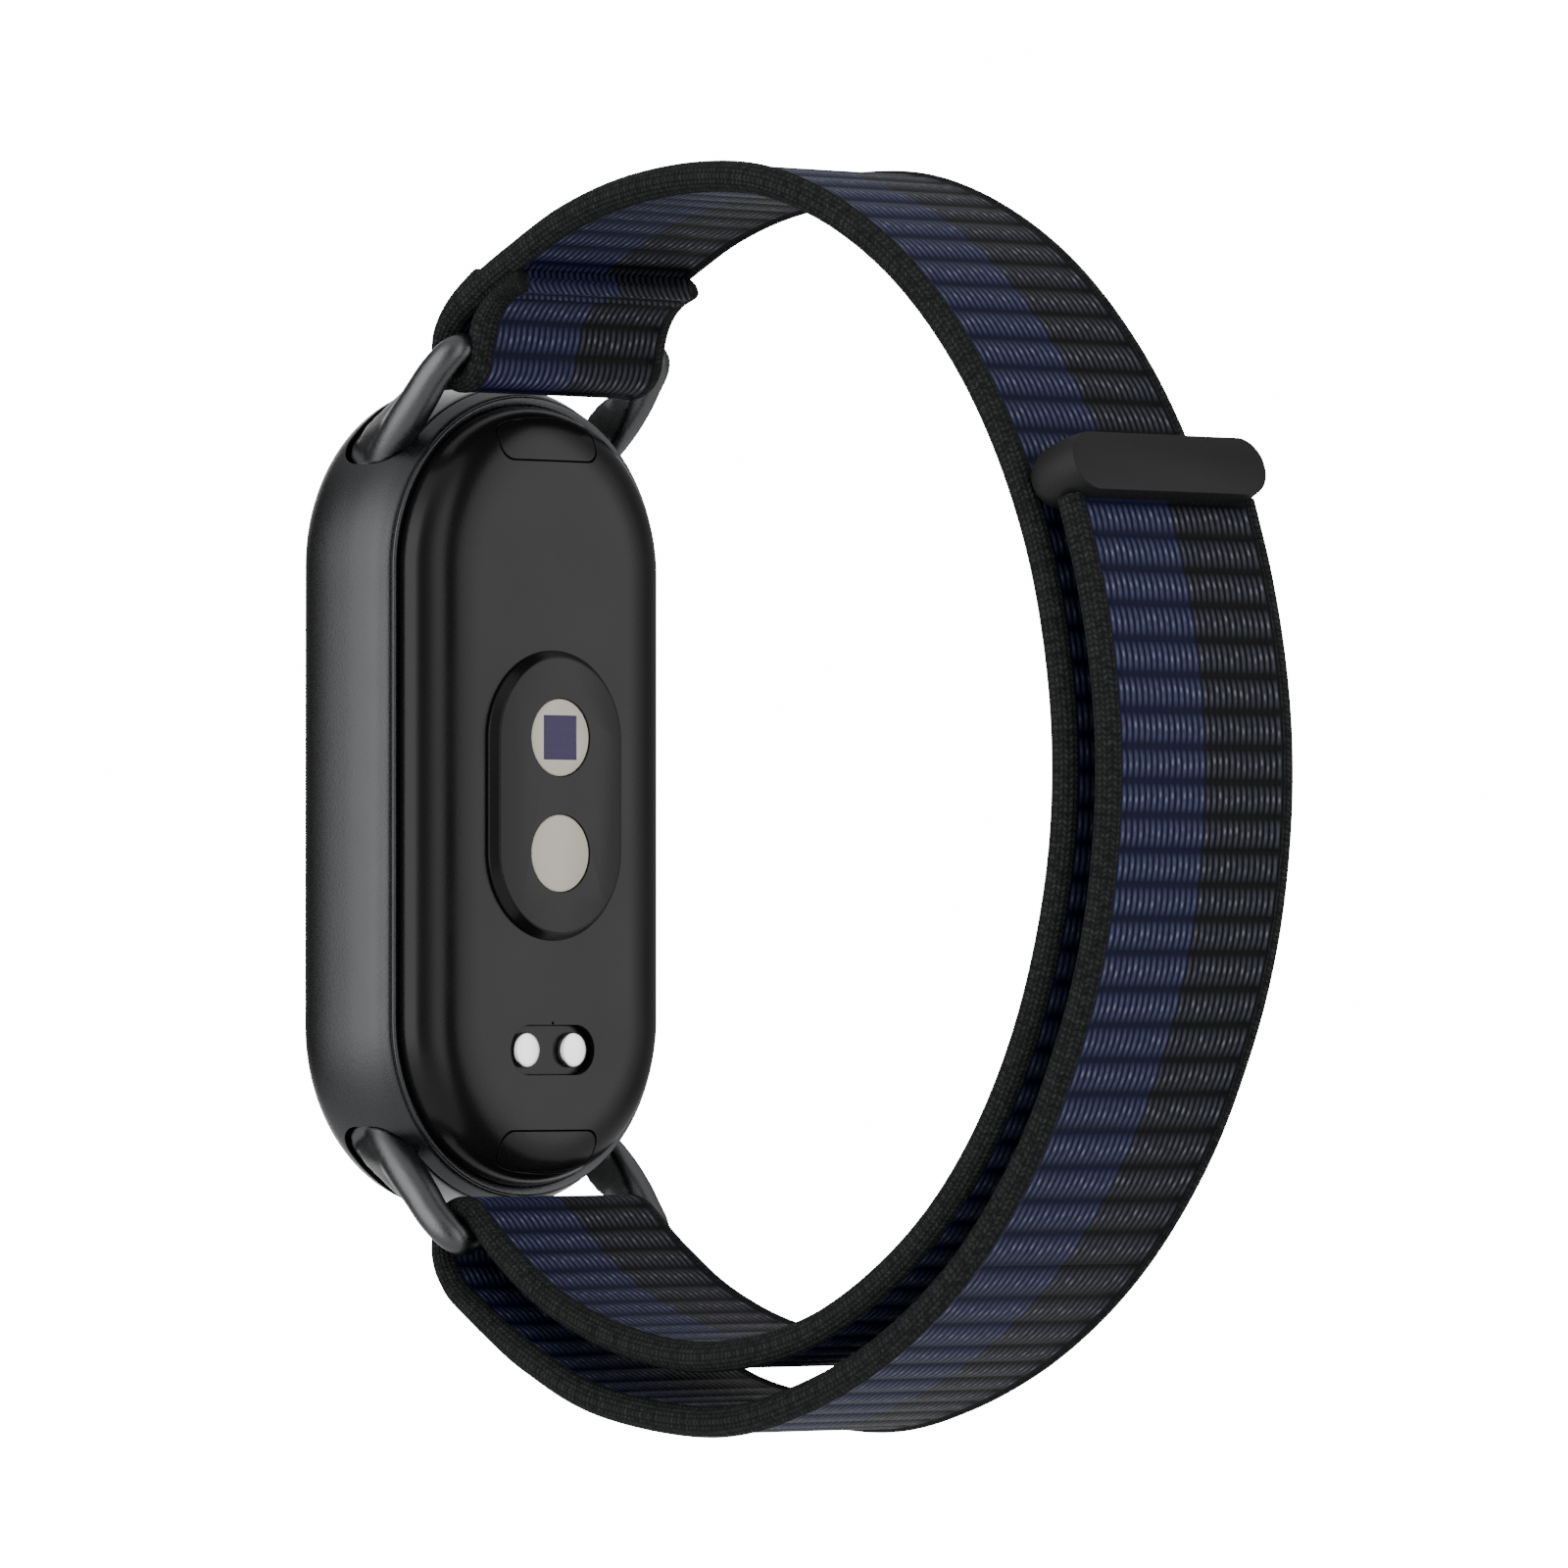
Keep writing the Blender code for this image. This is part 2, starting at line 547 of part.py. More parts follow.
def latch(mat, tool_mat):
    """A square loop round the connector's tongue: its lower bar sits in the tongue's notch."""
    z0, z1 = LATCH_Z - 0.3 * MM, LATCH_Z + 0.3 * MM
    plate = box("upper_latch", (-2.95 * MM, -31.7 * MM, z0), (2.95 * MM, -27.35 * MM, z1), mat)
    inside = box("upper_latch_window", (-2.35 * MM, -30.6 * MM, z0 - MM),
                 (2.35 * MM, -28.3 * MM, z1 + MM), tool_mat)
    lower = mirror_down(plate, "lower_latch")
    boolean(plate, "DIFFERENCE", inside)
    boolean(lower, "DIFFERENCE", mirror_down(inside, "lower_latch_window"))


def spring(mat):
    """A short coil under the latch, drawn at the length it has with the button pressed."""
    wire, radius, turns, steps = 0.13 * MM, 0.75 * MM, 3.5, 14
    bottom, top = -34.1 * MM, -32.5 * MM
    rings = []
    count = int(turns * steps)
    for i in range(count + 1):
        angle = 2 * math.pi * i / steps
        out = Vector((math.cos(angle), 0, math.sin(angle)))
        centre = out * radius + Vector((0, bottom + (top - bottom) * i / count, LATCH_Z))
        rings.append([centre + (out * math.cos(a) + Vector((0, 1, 0)) * math.sin(a)) * wire
                      for a in (2 * math.pi * k / 6 for k in range(6))])
    coil = add_object("upper_button_spring", loft(rings), mat)
    mirror_down(coil, "lower_button_spring")


# ---------------------------------------------------------------- strap

def strap_parts(fabric, hook, black):
    half = STRAP_HALF_THICKNESS
    width = STRAP_HALF_WIDTH
    gap = STRAP_GAP / 2
    upper = [Vector(p) * MM for p in UPPER_FOLD] + turn_round_bar(BAR_Z, 0, -180)
    upper += smooth_path(UPPER_LEG, 2.6 * MM)
    ribbon("strap_upper", shorten(upper, end=gap), width, half, fabric,
           start_thickness=[t * MM for t in FOLD_THICKNESS])
    back = smooth_path(BACK, 3.2 * MM)
    ribbon("strap_back", shorten(back, gap, gap), width, half, fabric)
    lower = smooth_path(LOWER_INNER, 2.6 * MM) + turn_round_bar(-BAR_Z, 45, 180)
    lower += smooth_path(LOWER_OUTER, 2.6 * MM)
    ribbon("strap_lower", shorten(lower, gap, gap), width, half, fabric)
    for name, points in (("strap_tail_root", TAIL_ROOT), ("strap_tail_middle", TAIL_MIDDLE)):
        ribbon(name, shorten(smooth_path(points, 2.8 * MM), gap, gap), width, half, fabric)
    tail_end = shorten(smooth_path(TAIL_END, 2.8 * MM), gap, 0.35 * MM)
    ribbon("strap_tail_end", tail_end, width, half, fabric)
    pad_path = shorten(smooth_path(TAIL_END, 2.8 * MM)[:-1], 1.2 * MM, 0.0)
    pad_offset = half + 0.08 * MM + HOOK_PAD_THICKNESS / 2
    ribbon("hook_pad", pad_path, HOOK_PAD_HALF_WIDTH, HOOK_PAD_THICKNESS / 2, hook,
           offset=pad_offset, round_edges=False)
    tab(black)


def tab(mat):
    """The moulded end cap: a rounded bar across the strap's end."""
    along = (Vector(TAIL_END[-1]) - Vector(TAIL_END[-2])).normalized()
    bm = bmesh.new()
    bmesh.ops.create_cube(bm, size=2.0)
    bmesh.ops.scale(bm, vec=(TAB_HALF_WIDTH, TAB_HALF_THICKNESS, TAB_HALF_LENGTH), verts=bm.verts)
    bmesh.ops.bevel(bm, geom=bm.edges, offset=1.2 * MM, segments=4, profile=0.5, affect="EDGES",
                    clamp_overlap=True)
    turn = math.atan2(along.x, along.y)
    bmesh.ops.rotate(bm, matrix=Matrix.Rotation(-turn, 3, "X"), verts=bm.verts)
    bmesh.ops.translate(bm, vec=(0.0, *(Vector(TAB_CENTRE) * MM)), verts=bm.verts)
    return add_object("end_tab", bm, mat)


# ---------------------------------------------------------------- assembly

def set_pivots():
    pivots = {"strap_tail_middle": PEEL_PIVOT, "strap_tail_end": CURL_PIVOT,
              "hook_pad": CURL_PIVOT, "end_tab": CURL_PIVOT}
    for side, sign in (("upper", 1), ("lower", -1)):
        for part, (y, z) in (("connector", RELEASE_LINE), ("release_button", BUTTON_LINE),
                             ("latch", BUTTON_LINE)):
            pivots[f"{side}_{part}"] = (y, sign * z)
        pivots[f"strap_{side}"] = (RELEASE_LINE[0], sign * RELEASE_LINE[1])
    for name, (y, z) in pivots.items():
        move_origin(bpy.data.objects[name], (0.0, y * MM, z * MM))


def build():
    clear_scene()
    grey_metal = material("satin grey aluminium", (0.13, 0.132, 0.136), 0.38, 1.0)
    connector_metal = material("satin connector metal", (0.16, 0.163, 0.166), 0.34, 1.0)
    black = material("black polymer", (0.045, 0.045, 0.046), 0.42)
    gloss = material("black glass", (0.008, 0.008, 0.009), 0.06)
    seal = material("seal", (0.02, 0.02, 0.02), 0.7)
    screen = material("display", (0.01, 0.01, 0.012), 0.2)
    flex = material("flex ribbon", (0.35, 0.14, 0.03), 0.45)
    window = material("sensor window", (0.45, 0.43, 0.39), 0.25)
    board = material("circuit board", (0.01, 0.07, 0.04), 0.5)
    purple = material("photodiode", (0.09, 0.05, 0.15), 0.25)
    green = material("green chip", (0.2, 0.5, 0.2), 0.3)
    red = material("red chip", (0.5, 0.1, 0.08), 0.3)
    gold = material("contact plating", (0.72, 0.73, 0.74), 0.22, 1.0)
    steel = material("steel", (0.5, 0.5, 0.5), 0.3, 1.0)
    foil = material("battery foil", (0.55, 0.56, 0.58), 0.4, 0.6)
    plastic = material("chassis plastic", (0.06, 0.06, 0.06), 0.6)
    fabric = material("woven strap", (0.02, 0.025, 0.06), 0.75)
    hook = material("hook tape", (0.015, 0.015, 0.017), 0.85)
    tab_black = material("matte black tab", (0.025, 0.025, 0.026), 0.6)
    tool = material("cutter", (0.8, 0.2, 0.2), 0.5)

    case_frame(grey_metal, tool)
    rear_cover(black, tool)
    front_parts(gloss, seal, screen, flex)
    rear_seal(seal)
    sensor_parts(black, window, board, purple, green, red, tool)
    contact_parts(black, gold, tool)
    inner_parts(plastic, board, steel, foil, tool)
    connector(connector_metal, tool)
    button(black, tool)
    latch(steel, tool)
    spring(steel)
    strap_parts(fabric, hook, tab_black)
    set_pivots()


build()
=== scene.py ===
"""The looks of a fitness tracker band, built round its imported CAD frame.

The row frame, in metres: the wrist passes through the loop along X, the display faces -Y,
the rear sensor faces +Y, and +Z runs up the length of the case. The navy half of the strap is
on the +X side. Lengths named here are in millimetres unless they say otherwise.
"""
import math

import bmesh
import bpy
import numpy as np
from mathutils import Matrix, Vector


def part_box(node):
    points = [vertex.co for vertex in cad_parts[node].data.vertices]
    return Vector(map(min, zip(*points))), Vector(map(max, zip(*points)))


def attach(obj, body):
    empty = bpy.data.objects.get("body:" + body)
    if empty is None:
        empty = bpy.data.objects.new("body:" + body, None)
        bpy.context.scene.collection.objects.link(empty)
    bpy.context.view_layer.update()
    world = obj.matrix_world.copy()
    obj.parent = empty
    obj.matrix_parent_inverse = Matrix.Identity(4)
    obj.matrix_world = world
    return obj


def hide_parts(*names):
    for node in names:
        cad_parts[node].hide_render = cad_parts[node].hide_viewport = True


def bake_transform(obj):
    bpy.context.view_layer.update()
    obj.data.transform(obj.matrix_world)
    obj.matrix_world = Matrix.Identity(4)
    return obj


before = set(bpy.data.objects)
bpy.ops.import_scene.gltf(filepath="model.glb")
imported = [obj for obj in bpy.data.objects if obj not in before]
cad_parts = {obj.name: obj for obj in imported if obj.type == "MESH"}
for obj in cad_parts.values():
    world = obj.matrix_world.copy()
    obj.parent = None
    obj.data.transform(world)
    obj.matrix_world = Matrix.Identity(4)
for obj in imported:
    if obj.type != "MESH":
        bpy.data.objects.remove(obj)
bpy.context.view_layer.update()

MM = 0.001

# Case: every level of it is a stadium, a rounded end on each side of a straight run
CASE_STRAIGHT = 13.75
CASE_RADIUS = 11.5
FRONT_GROWTH = 0.4          # added to the straight run at the front
RIM_Y = -27.5
FRONT_Y = -36.1
COVER_RADIUS = 10.1
COVER_SKIRT = (10.27, -27.45)   # foot of the cover's steep side, as (radius, Y)
STEEPEST = 2.35                 # slope at which the dome turns into the steep side
COVER_FLAT_RADIUS = 5.65
COVER_FLAT_Y = -25.0
DOME_POWER = 2.4
FOOT_FLOOR_RADIUS = 10.12
FOOT_OUTER_RADIUS = 11.46
FOOT_Y = (-34.25, -28.75)
FOOT_START = math.radians(34.5)
FOOT_CORNER = 2.3
POCKET_GAP = 0.13
POCKET_OUTER_RADIUS = 14.0  # past the case's surface, so the pocket is open
BUTTON_HALF_WIDTH = 3.87
BUTTON_FLAT_Z = 20.6
BUTTON_TIP_Z = 23.1
BUTTON_GAP = 0.1
BAR_Y, BAR_Z = -25.45, 27.0
BAR_RADIUS = 0.82

# Sensor and contacts
SENSOR_STRAIGHT = 3.45
WINDOW_RADIUS = 2.38
WINDOW_Z = 3.55
CHIP_HALF = 1.36
CONTACT_X = 1.92
CONTACT_Z = -15.6
CONTACT_RADIUS = 1.08
INSERT_STRAIGHT = 1.9
INSERT_RADIUS = 1.5

# Strap
STRAP_HALF_WIDTH = 7.75
STRAP_HALF_THICKNESS = 0.8
STRAP_TURN = 1.75
FACE_EDGE = 6.68            # the ribbed face ends here and the knitted edge begins
FACE_RIM = 0.6              # the outer strip of the face, drawn with closer points
FACE_BLEND = 0.45           # over this width the ribs fade out towards the edge
SEAM_HEIGHT = 0.93          # where face meets edge, as a part of the half thickness
RIB_CREST = 0.91            # top of a rib, in the same measure
RIB_DEPTH, HEM_RIB_DEPTH = 0.15, 0.22
HEM_LENGTH = 12
RIB_PITCH = 2.05
YARN_PITCH = 0.489
COLOUR_SPLIT = -0.2         # the strap is navy on the +X side of this
ROWS_PER_RIB = 10
STRAP_STEP = 0.05           # between points of the finely drawn centre line
TAB_HALF_WIDTH, TAB_HALF_LENGTH, TAB_HALF_THICKNESS = 7.95, 1.88, 1.95
TAB_CENTRE = (27.0, 18.15)
HOOK_TAPE_ENDS = ((30.75, 3.3), (28.4, 14.6))
HOOK_ROWS, HOOK_COLUMNS = 15, 17

# Valleys between ribs, as (length from the hem, ribs so far); the first two rows are narrower,
# and the ribs spread where the strap is pulled round a bend
RIB_MARKS = [(0.0, 0.16), (0.6, 0.55), (1.05, 1), (1.95, 2), (3.95, 3), (6.25, 4), (8.5, 5),
             (21.25, 11), (27.35, 14), (34.5, 18), (42.45, 22), (59.05, 29), (70.2, 34),
             (214.15, 104), (219.2, 106), (224.65, 108), (234.3, 112), (243.0, 116),
             (254.9, 122), (269.4, 129), (272.0, 130)]

# Thickness added where the strap's two plies are sewn together, by length from the hem: on the
# side away from the strap's normal, and (LAP) on the other side
HEM_BACKING = [(0.0, 0.25), (0.9, 0.35), (2.2, 0.45), (4.4, 0.6), (5.8, 0.6), (7.0, 0.2),
               (8.0, 0.0), (12.5, 0.0), (14.0, 0.2), (16.5, 0.2), (18.0, 0.0)]
LAP = [(10.5, 0.0), (12.5, 0.24), (17.35, 0.28), (17.5, 0.0)]
# How full the knitted edges are, by the same length: they're squeezed where they pass a bar
EDGE_FULLNESS = [(0.0, 0.96), (14.0, 0.96), (18.0, 1.22), (160.0, 1.22), (165.0, 0.96),
                 (174.0, 0.96), (179.0, 1.22)]

# The strap's centre line, as (Y, Z)
UPPER_FOLD = [(-19.75, 31.2), (-20.6, 30.85), (-21.5, 30.4), (-22.25, 29.85), (-22.9, 29.15),
              (-23.35, 28.3)]
FOLD_THICKNESS = [0.7, 0.62, 0.5, 0.52, 0.68, 0.8]
UPPER_LEG = [(-26.95, 28.2), (-26.05, 29.45), (-24.5, 30.55), (-20.8, 32.5), (-16.0, 34.7),
             (-10.5, 36.15), (-4.0, 36.7)]
BACK = [(2.0, 36.1), (8.2, 33.8), (14.0, 30.0), (19.2, 24.6), (23.2, 18.2), (25.9, 11.0),
        (27.2, 2.5), (26.6, -5.9), (23.9, -14.6), (19.4, -22.1), (13.4, -27.9), (5.6, -32.2),
        (-3.0, -33.85)]
LOWER_INNER = [(-10.3, -33.15), (-16.5, -31.1), (-21.0, -28.4)]
LOWER_OUTER = [(-27.2, -28.2), (-26.6, -29.5), (-24.95, -31.0), (-19.0, -34.4), (-12.5, -36.8),
               (-3.0, -37.75)]
TAIL = [(4.5, -36.3), (11.9, -33.1), (18.6, -28.2), (24.0, -21.8), (27.6, -15.0), (29.6, -9.2),
        (30.6, -3.4), (30.8, 2.0), (30.3, 7.0), (29.2, 12.0), (27.55, 17.0)]
SEAMS = [(26.6, -5.9), (18.6, -28.2), (30.6, -3.4)]

# Camera, for a picture 1600 wide and high
CAMERA_AT = (0.536545, 0.571156, -0.013286)
CAMERA_TURN = math.radians(43)
CAMERA_LIFT = math.radians(-1)
CAMERA_LENS = 300.26


# ---------------------------------------------------------------- meshes

def new_object(name, mesh, materials, sharp=40):
    for mat in materials:
        mesh.materials.append(mat)
    mesh.shade_smooth()
    mesh.set_sharp_from_angle(angle=math.radians(sharp))
    obj = bpy.data.objects.new(name, mesh)
    bpy.context.scene.collection.objects.link(obj)
    return obj


def loft(name, rings, materials, joined=False, uv=None, face_slots=None, sharp=40):
    """A solid through rings of points in millimetres: capped, or joined end to end."""
    rings = np.asarray(rings, float) * MM
    count, around = rings.shape[:2]
    index = np.arange(count * around).reshape(count, around)
    first = index if joined else index[:-1]
    second = np.roll(index, -1, axis=0) if joined else index[1:]
    quads = np.stack([first, np.roll(first, -1, 1), np.roll(second, -1, 1), second], axis=-1)
    faces = quads.reshape(-1, 4).tolist()
    if not joined:
        faces += [index[0][::-1].tolist(), index[-1].tolist()]
    mesh = bpy.data.meshes.new(name)
    mesh.from_pydata(rings.reshape(-1, 3).tolist(), [], faces)
    if face_slots is not None:
        slots = np.tile(face_slots, len(first)).tolist() + [0] * (0 if joined else 2)
        mesh.polygons.foreach_set("material_index", slots)
    if uv is not None:
        layer = mesh.uv_layers.new(name="Weave")
        corners = np.empty(len(mesh.loops), np.int32)
        mesh.loops.foreach_get("vertex_index", corners)
        layer.data.foreach_set("uv", uv.reshape(-1, 2)[corners].astype(np.float32).ravel())
    turn_faces_out(mesh)
    return new_object(name, mesh, materials, sharp)


def turn_faces_out(mesh):
    bm = bmesh.new()
    bm.from_mesh(mesh)
    bmesh.ops.recalc_face_normals(bm, faces=bm.faces)
    if bm.calc_volume(signed=True) < 0:
        bmesh.ops.reverse_faces(bm, faces=bm.faces)
    bm.to_mesh(mesh)
    bm.free()


def cut(obj, operation, *tools):
    """Booleans with the tools, which are removed; the result keeps the object's material."""
    for tool in tools:
        modifier = obj.modifiers.new("cut", "BOOLEAN")
        modifier.operation = operation
        modifier.solver = "EXACT"
        modifier.object = tool
    graph = bpy.context.evaluated_depsgraph_get()
    mesh = bpy.data.meshes.new_from_object(obj.evaluated_get(graph))
    obj.modifiers.clear()
    obj.data = mesh
    for tool in tools:
        bpy.data.objects.remove(tool)
    mesh.shade_smooth()
    mesh.set_sharp_from_angle(angle=math.radians(32))
    return obj


def soften(obj, size=0.11, passes=22):
    """Blend the joins between the parts of a solid, as a casting's are."""
    remesh = obj.modifiers.new("even", "REMESH")
    remesh.mode = "VOXEL"
    remesh.voxel_size = size * MM
    smooth = obj.modifiers.new("smooth", "SMOOTH")
    smooth.factor = 0.5
    smooth.iterations = passes
    graph = bpy.context.evaluated_depsgraph_get()
    mesh = bpy.data.meshes.new_from_object(obj.evaluated_get(graph))
    obj.modifiers.clear()
    obj.data = mesh
    mesh.shade_smooth()


def mirrored(obj, name):
    """A copy for the other end of the case, mirrored in the plane Z = 0."""
    mesh = obj.data.copy()
    mesh.transform(((1, 0, 0, 0), (0, 1, 0, 0), (0, 0, -1, 0), (0, 0, 0, 1)))
    turn_faces_out(mesh)
    copy = bpy.data.objects.new(name, mesh)
    bpy.context.scene.collection.objects.link(copy)
    mesh.set_sharp_from_angle(angle=math.radians(32))
    return copy


def stadium(radius, y, straight=CASE_STRAIGHT, centre=(0.0, 0.0), steps=64, along="Z"):
    ring = []
    for sign in (1, -1):
        for i in range(steps + 1):
            angle = math.pi * i / steps
            across = sign * radius * math.cos(angle)
            length = sign * (straight + radius * math.sin(angle))
            if along == "Z":
                ring.append((centre[0] + across, y, centre[1] + length))
            else:
                ring.append((centre[0] + length, y, centre[1] - across))
    return ring


def rounded(points, steps=4, closed=False):
    """A profile with its corners rounded; each point is (radius, y, length of its fillet)."""
    count = len(points)
    result = []
    for i, (x, y, fillet) in enumerate(points):
        if not closed and i in (0, count - 1) or fillet == 0:
            result.append((x, y))
            continue
        here = Vector((x, y))
        before, after = Vector(points[i - 1][:2]), Vector(points[(i + 1) % count][:2])
        reach = [min(fillet, (p - here).length * 0.5) for p in (before, after)]
        a = here + (before - here).normalized() * reach[0]
        b = here + (after - here).normalized() * reach[1]
        for k in range(steps + 1):
            t = k / steps
            result.append(tuple((1 - t) ** 2 * a + 2 * t * (1 - t) * here + t * t * b))
    return result


def disc(name, profile, mat, centre, steps=64):
    """A turned solid on an axis along Y."""
    rings = [[(centre[0] + r * math.cos(2 * math.pi * i / steps), y,
               centre[1] + r * math.sin(2 * math.pi * i / steps)) for i in range(steps)]
             for r, y in profile]
    return loft(name, rings, [mat])


# ---------------------------------------------------------------- materials

class Paint:
    """A Principled material and short ways to add nodes to it."""

    def __init__(self, name, colour=(0.5, 0.5, 0.5), **values):
        self.material = bpy.data.materials.new(name)
        self.material.use_nodes = True
        self.tree = self.material.node_tree
        self.shader = self.tree.nodes["Principled BSDF"]
        self.shader.inputs["Base Color"].default_value = (*colour, 1.0)
        for key, value in values.items():
            socket = key.replace("_", " ").title().replace("Ior", "IOR")
            self.shader.inputs[socket].default_value = value

    def node(self, kind, inputs=(), **settings):
        made = self.tree.nodes.new(kind)
        for key, value in settings.items():
            setattr(made, key, value)
        for key, value in dict(inputs).items():
            if isinstance(value, bpy.types.NodeSocket):
                self.tree.links.new(value, made.inputs[key])
            else:
                made.inputs[key].default_value = value
        return made

    def math(self, operation, *values):
        made = self.node("ShaderNodeMath", dict(enumerate(values)), operation=operation)
        return made.outputs[0]

    def noise(self, scale, detail=2.0, stretch=None, source="Object"):
        place = self.node("ShaderNodeTexCoord").outputs[source]
        if stretch:
            place = self.node("ShaderNodeMapping", {0: place, 3: stretch}).outputs[0]
        made = self.node("ShaderNodeTexNoise", {"Vector": place, "Scale": scale, "Detail": detail})
        return made.outputs["Fac"]

    def range(self, value, low, high, start=0.0, end=1.0):
        inputs = {0: value, 1: start, 2: end, 3: low, 4: high}
        return self.node("ShaderNodeMapRange", inputs).outputs[0]

    def blend(self, factor, first, second):
        made = self.node("ShaderNodeMix", data_type="RGBA")
        for socket, value in ((0, factor), (6, first), (7, second)):
            if isinstance(value, bpy.types.NodeSocket):
                self.tree.links.new(value, made.inputs[socket])
            elif socket == 0:
                made.inputs[0].default_value = value
            else:
                made.inputs[socket].default_value = (*value, 1.0)
        return made.outputs[2]

    def to(self, socket, value):
        self.tree.links.new(value, self.shader.inputs[socket])

    def bump(self, height, distance, strength=1.0, soft_edge=None):
        inputs = {"Height": height, "Distance": distance * MM, "Strength": strength}
        if soft_edge:
            bevel = self.node("ShaderNodeBevel", {"Radius": soft_edge * MM}, samples=4)
            inputs["Normal"] = bevel.outputs[0]
        self.to("Normal", self.node("ShaderNodeBump", inputs).outputs[0])


def satin_metal(name, colour, roughness):
    """Bead-blasted metal: a fine grain in its height, tone and roughness."""
    paint = Paint(name, colour, metallic=1.0, roughness=roughness)
    fine = paint.noise(9000, 3)
    broad = paint.noise(350, 2)
    dark, light = (tuple(c * k for c in colour) for k in (0.86, 1.12))
    tone = paint.math("ADD", paint.math("MULTIPLY", fine, 0.6), paint.math("MULTIPLY", broad, 0.4))
    paint.to("Base Color", paint.blend(tone, dark, light))
    paint.to("Roughness", paint.range(fine, roughness - 0.05, roughness + 0.06, 0.3, 0.7))
    paint.bump(fine, 0.012, soft_edge=0.07)
    return paint.material


def moulded(name, colour, roughness, grain=0.004, **values):
    """Moulded polymer: a very fine texture and slight unevenness in gloss."""
    paint = Paint(name, colour, roughness=roughness, **values)
    fine = paint.noise(6000, 2)
    broad = paint.noise(120, 3)
    dark, light = (tuple(c * k for c in colour) for k in (0.9, 1.1))
    paint.to("Base Color", paint.blend(broad, dark, light))
    paint.to("Roughness", paint.range(broad, roughness - 0.03, roughness + 0.04, 0.3, 0.7))
    paint.bump(fine, grain, soft_edge=0.06)
    return paint.material


def webbing():
    """Woven face: yarns along the strap that float over each rib and dip between ribs.

    The UV map holds millimetres: across the strap, and along it with ribs evenly spaced. Its colour
    carries painted light: painted shade in the valleys, crowns painted lighter, and painted glints.
    """
    paint = Paint("woven_face", roughness=0.5, specular_ior_level=0.08)
    place = paint.node("ShaderNodeUVMap", uv_map="Weave").outputs[0]
    parts = paint.node("ShaderNodeSeparateXYZ", {0: place}).outputs
    yarn = paint.math("DIVIDE", paint.math("SUBTRACT", parts[0], COLOUR_SPLIT), YARN_PITCH)
    rib = paint.math("DIVIDE", parts[1], RIB_PITCH)
    key = paint.node("ShaderNodeCombineXYZ", {0: paint.math("FLOOR", yarn),
                                              1: paint.math("FLOOR", rib)}).outputs[0]
    chance = paint.node("ShaderNodeTexWhiteNoise", {"Vector": key}, noise_dimensions="2D").outputs
    crown = paint.math("SINE", paint.math("MULTIPLY", paint.math("FRACT", yarn), math.pi))
    along = paint.math("FRACT", rib)
    rise = paint.math("SINE", paint.math("MULTIPLY", along, math.pi))
    # Painted glints: a short bright spot on a yarn's crown, at a random place along each rib and of
    # random strength
    other = paint.math("FRACT", paint.math("MULTIPLY", chance[0], 7.3))
    middle = paint.math("SUBTRACT", along, paint.range(chance[0], 0.4, 0.62))
    glint = paint.range(paint.math("ABSOLUTE", middle), 1.0, 0.0, 0.02, 0.12)
    glint = paint.math("MULTIPLY", glint, paint.range(crown, 0.0, 1.0, 0.75, 0.97))
    glint = paint.math("MULTIPLY", glint, paint.range(other, 0.15, 1.0))
    strand = paint.noise(1.0, 2, (9.0, 1.3, 1.0), source="UV")
    # Painted light and shade: each yarn is lighter along its crown and where it rises over a rib,
    # darker towards the valleys; the strand noise is the yarn's own unevenness
    over = paint.math("MULTIPLY", paint.range(crown, 0.0, 1.0, 0.38, 0.92),
                      paint.range(rise, 0.0, 1.0, 0.2, 0.8))
    over = paint.math("MULTIPLY", over, paint.range(strand, 0.55, 1.3, 0.3, 0.7))
    navy_side = paint.math("GREATER_THAN", yarn, 0.0)
    # The valley colour, near black, is painted shade between ribs and yarns; the thread colour is the
    # lit yarn; the glint colour is a painted highlight
    valley = paint.blend(navy_side, (0.0003, 0.0004, 0.0009), (0.0014, 0.0021, 0.0135))
    thread = paint.blend(navy_side, (0.0255, 0.0265, 0.037), (0.030, 0.034, 0.071))
    glint_colour = paint.blend(navy_side, (0.1, 0.1, 0.115), (0.1, 0.105, 0.15))
    colour = paint.blend(over, valley, thread)
    paint.to("Base Color", paint.blend(glint, colour, glint_colour))
    height = paint.math("ADD", paint.math("MULTIPLY", crown, paint.range(rise, 0.4, 1.0)),
                        paint.math("MULTIPLY", strand, 0.15))
    paint.bump(height, 0.06)
    return paint.material


def knitted_edge():
    """Knitted binding along both edges of the strap: small slanting stitches, melange black."""
    paint = Paint("knitted_edge", roughness=0.75, specular_ior_level=0.08)
    place = paint.node("ShaderNodeUVMap", uv_map="Weave").outputs[0]
    parts = paint.node("ShaderNodeSeparateXYZ", {0: place}).outputs
    wale = paint.math("FRACT", paint.math("DIVIDE", parts[0], 0.5))
    lean = paint.math("MULTIPLY", paint.math("ABSOLUTE", paint.math("SUBTRACT", wale, 0.5)), 1.1)
    wobble = paint.math("MULTIPLY", paint.noise(1.6, 1, source="UV"), 0.5)
    course = paint.math("ADD", paint.math("DIVIDE", parts[1], 0.34), paint.math("ADD", lean, wobble))
    loop = paint.math("SINE", paint.math("MULTIPLY", paint.math("FRACT", course), math.pi))
    half = paint.math("FRACT", paint.math("MULTIPLY", wale, 2.0))
    leg = paint.math("SINE", paint.math("MULTIPLY", half, math.pi))
    height = paint.math("MULTIPLY", paint.math("POWER", loop, 0.6), paint.math("POWER", leg, 0.6))
    melange = paint.noise(2.4, 3, source="UV")
    # Painted shade: the gaps between stitch loops are painted darker and the loops lighter, mottled by
    # the yarn's own melange
    tone = paint.math("MULTIPLY", height, paint.range(melange, 0.15, 1.0, 0.35, 0.65))
    paint.to("Base Color", paint.blend(tone, (0.0034, 0.0037, 0.0037), (0.0195, 0.021, 0.021)))
    paint.bump(height, 0.09)
    return paint.material


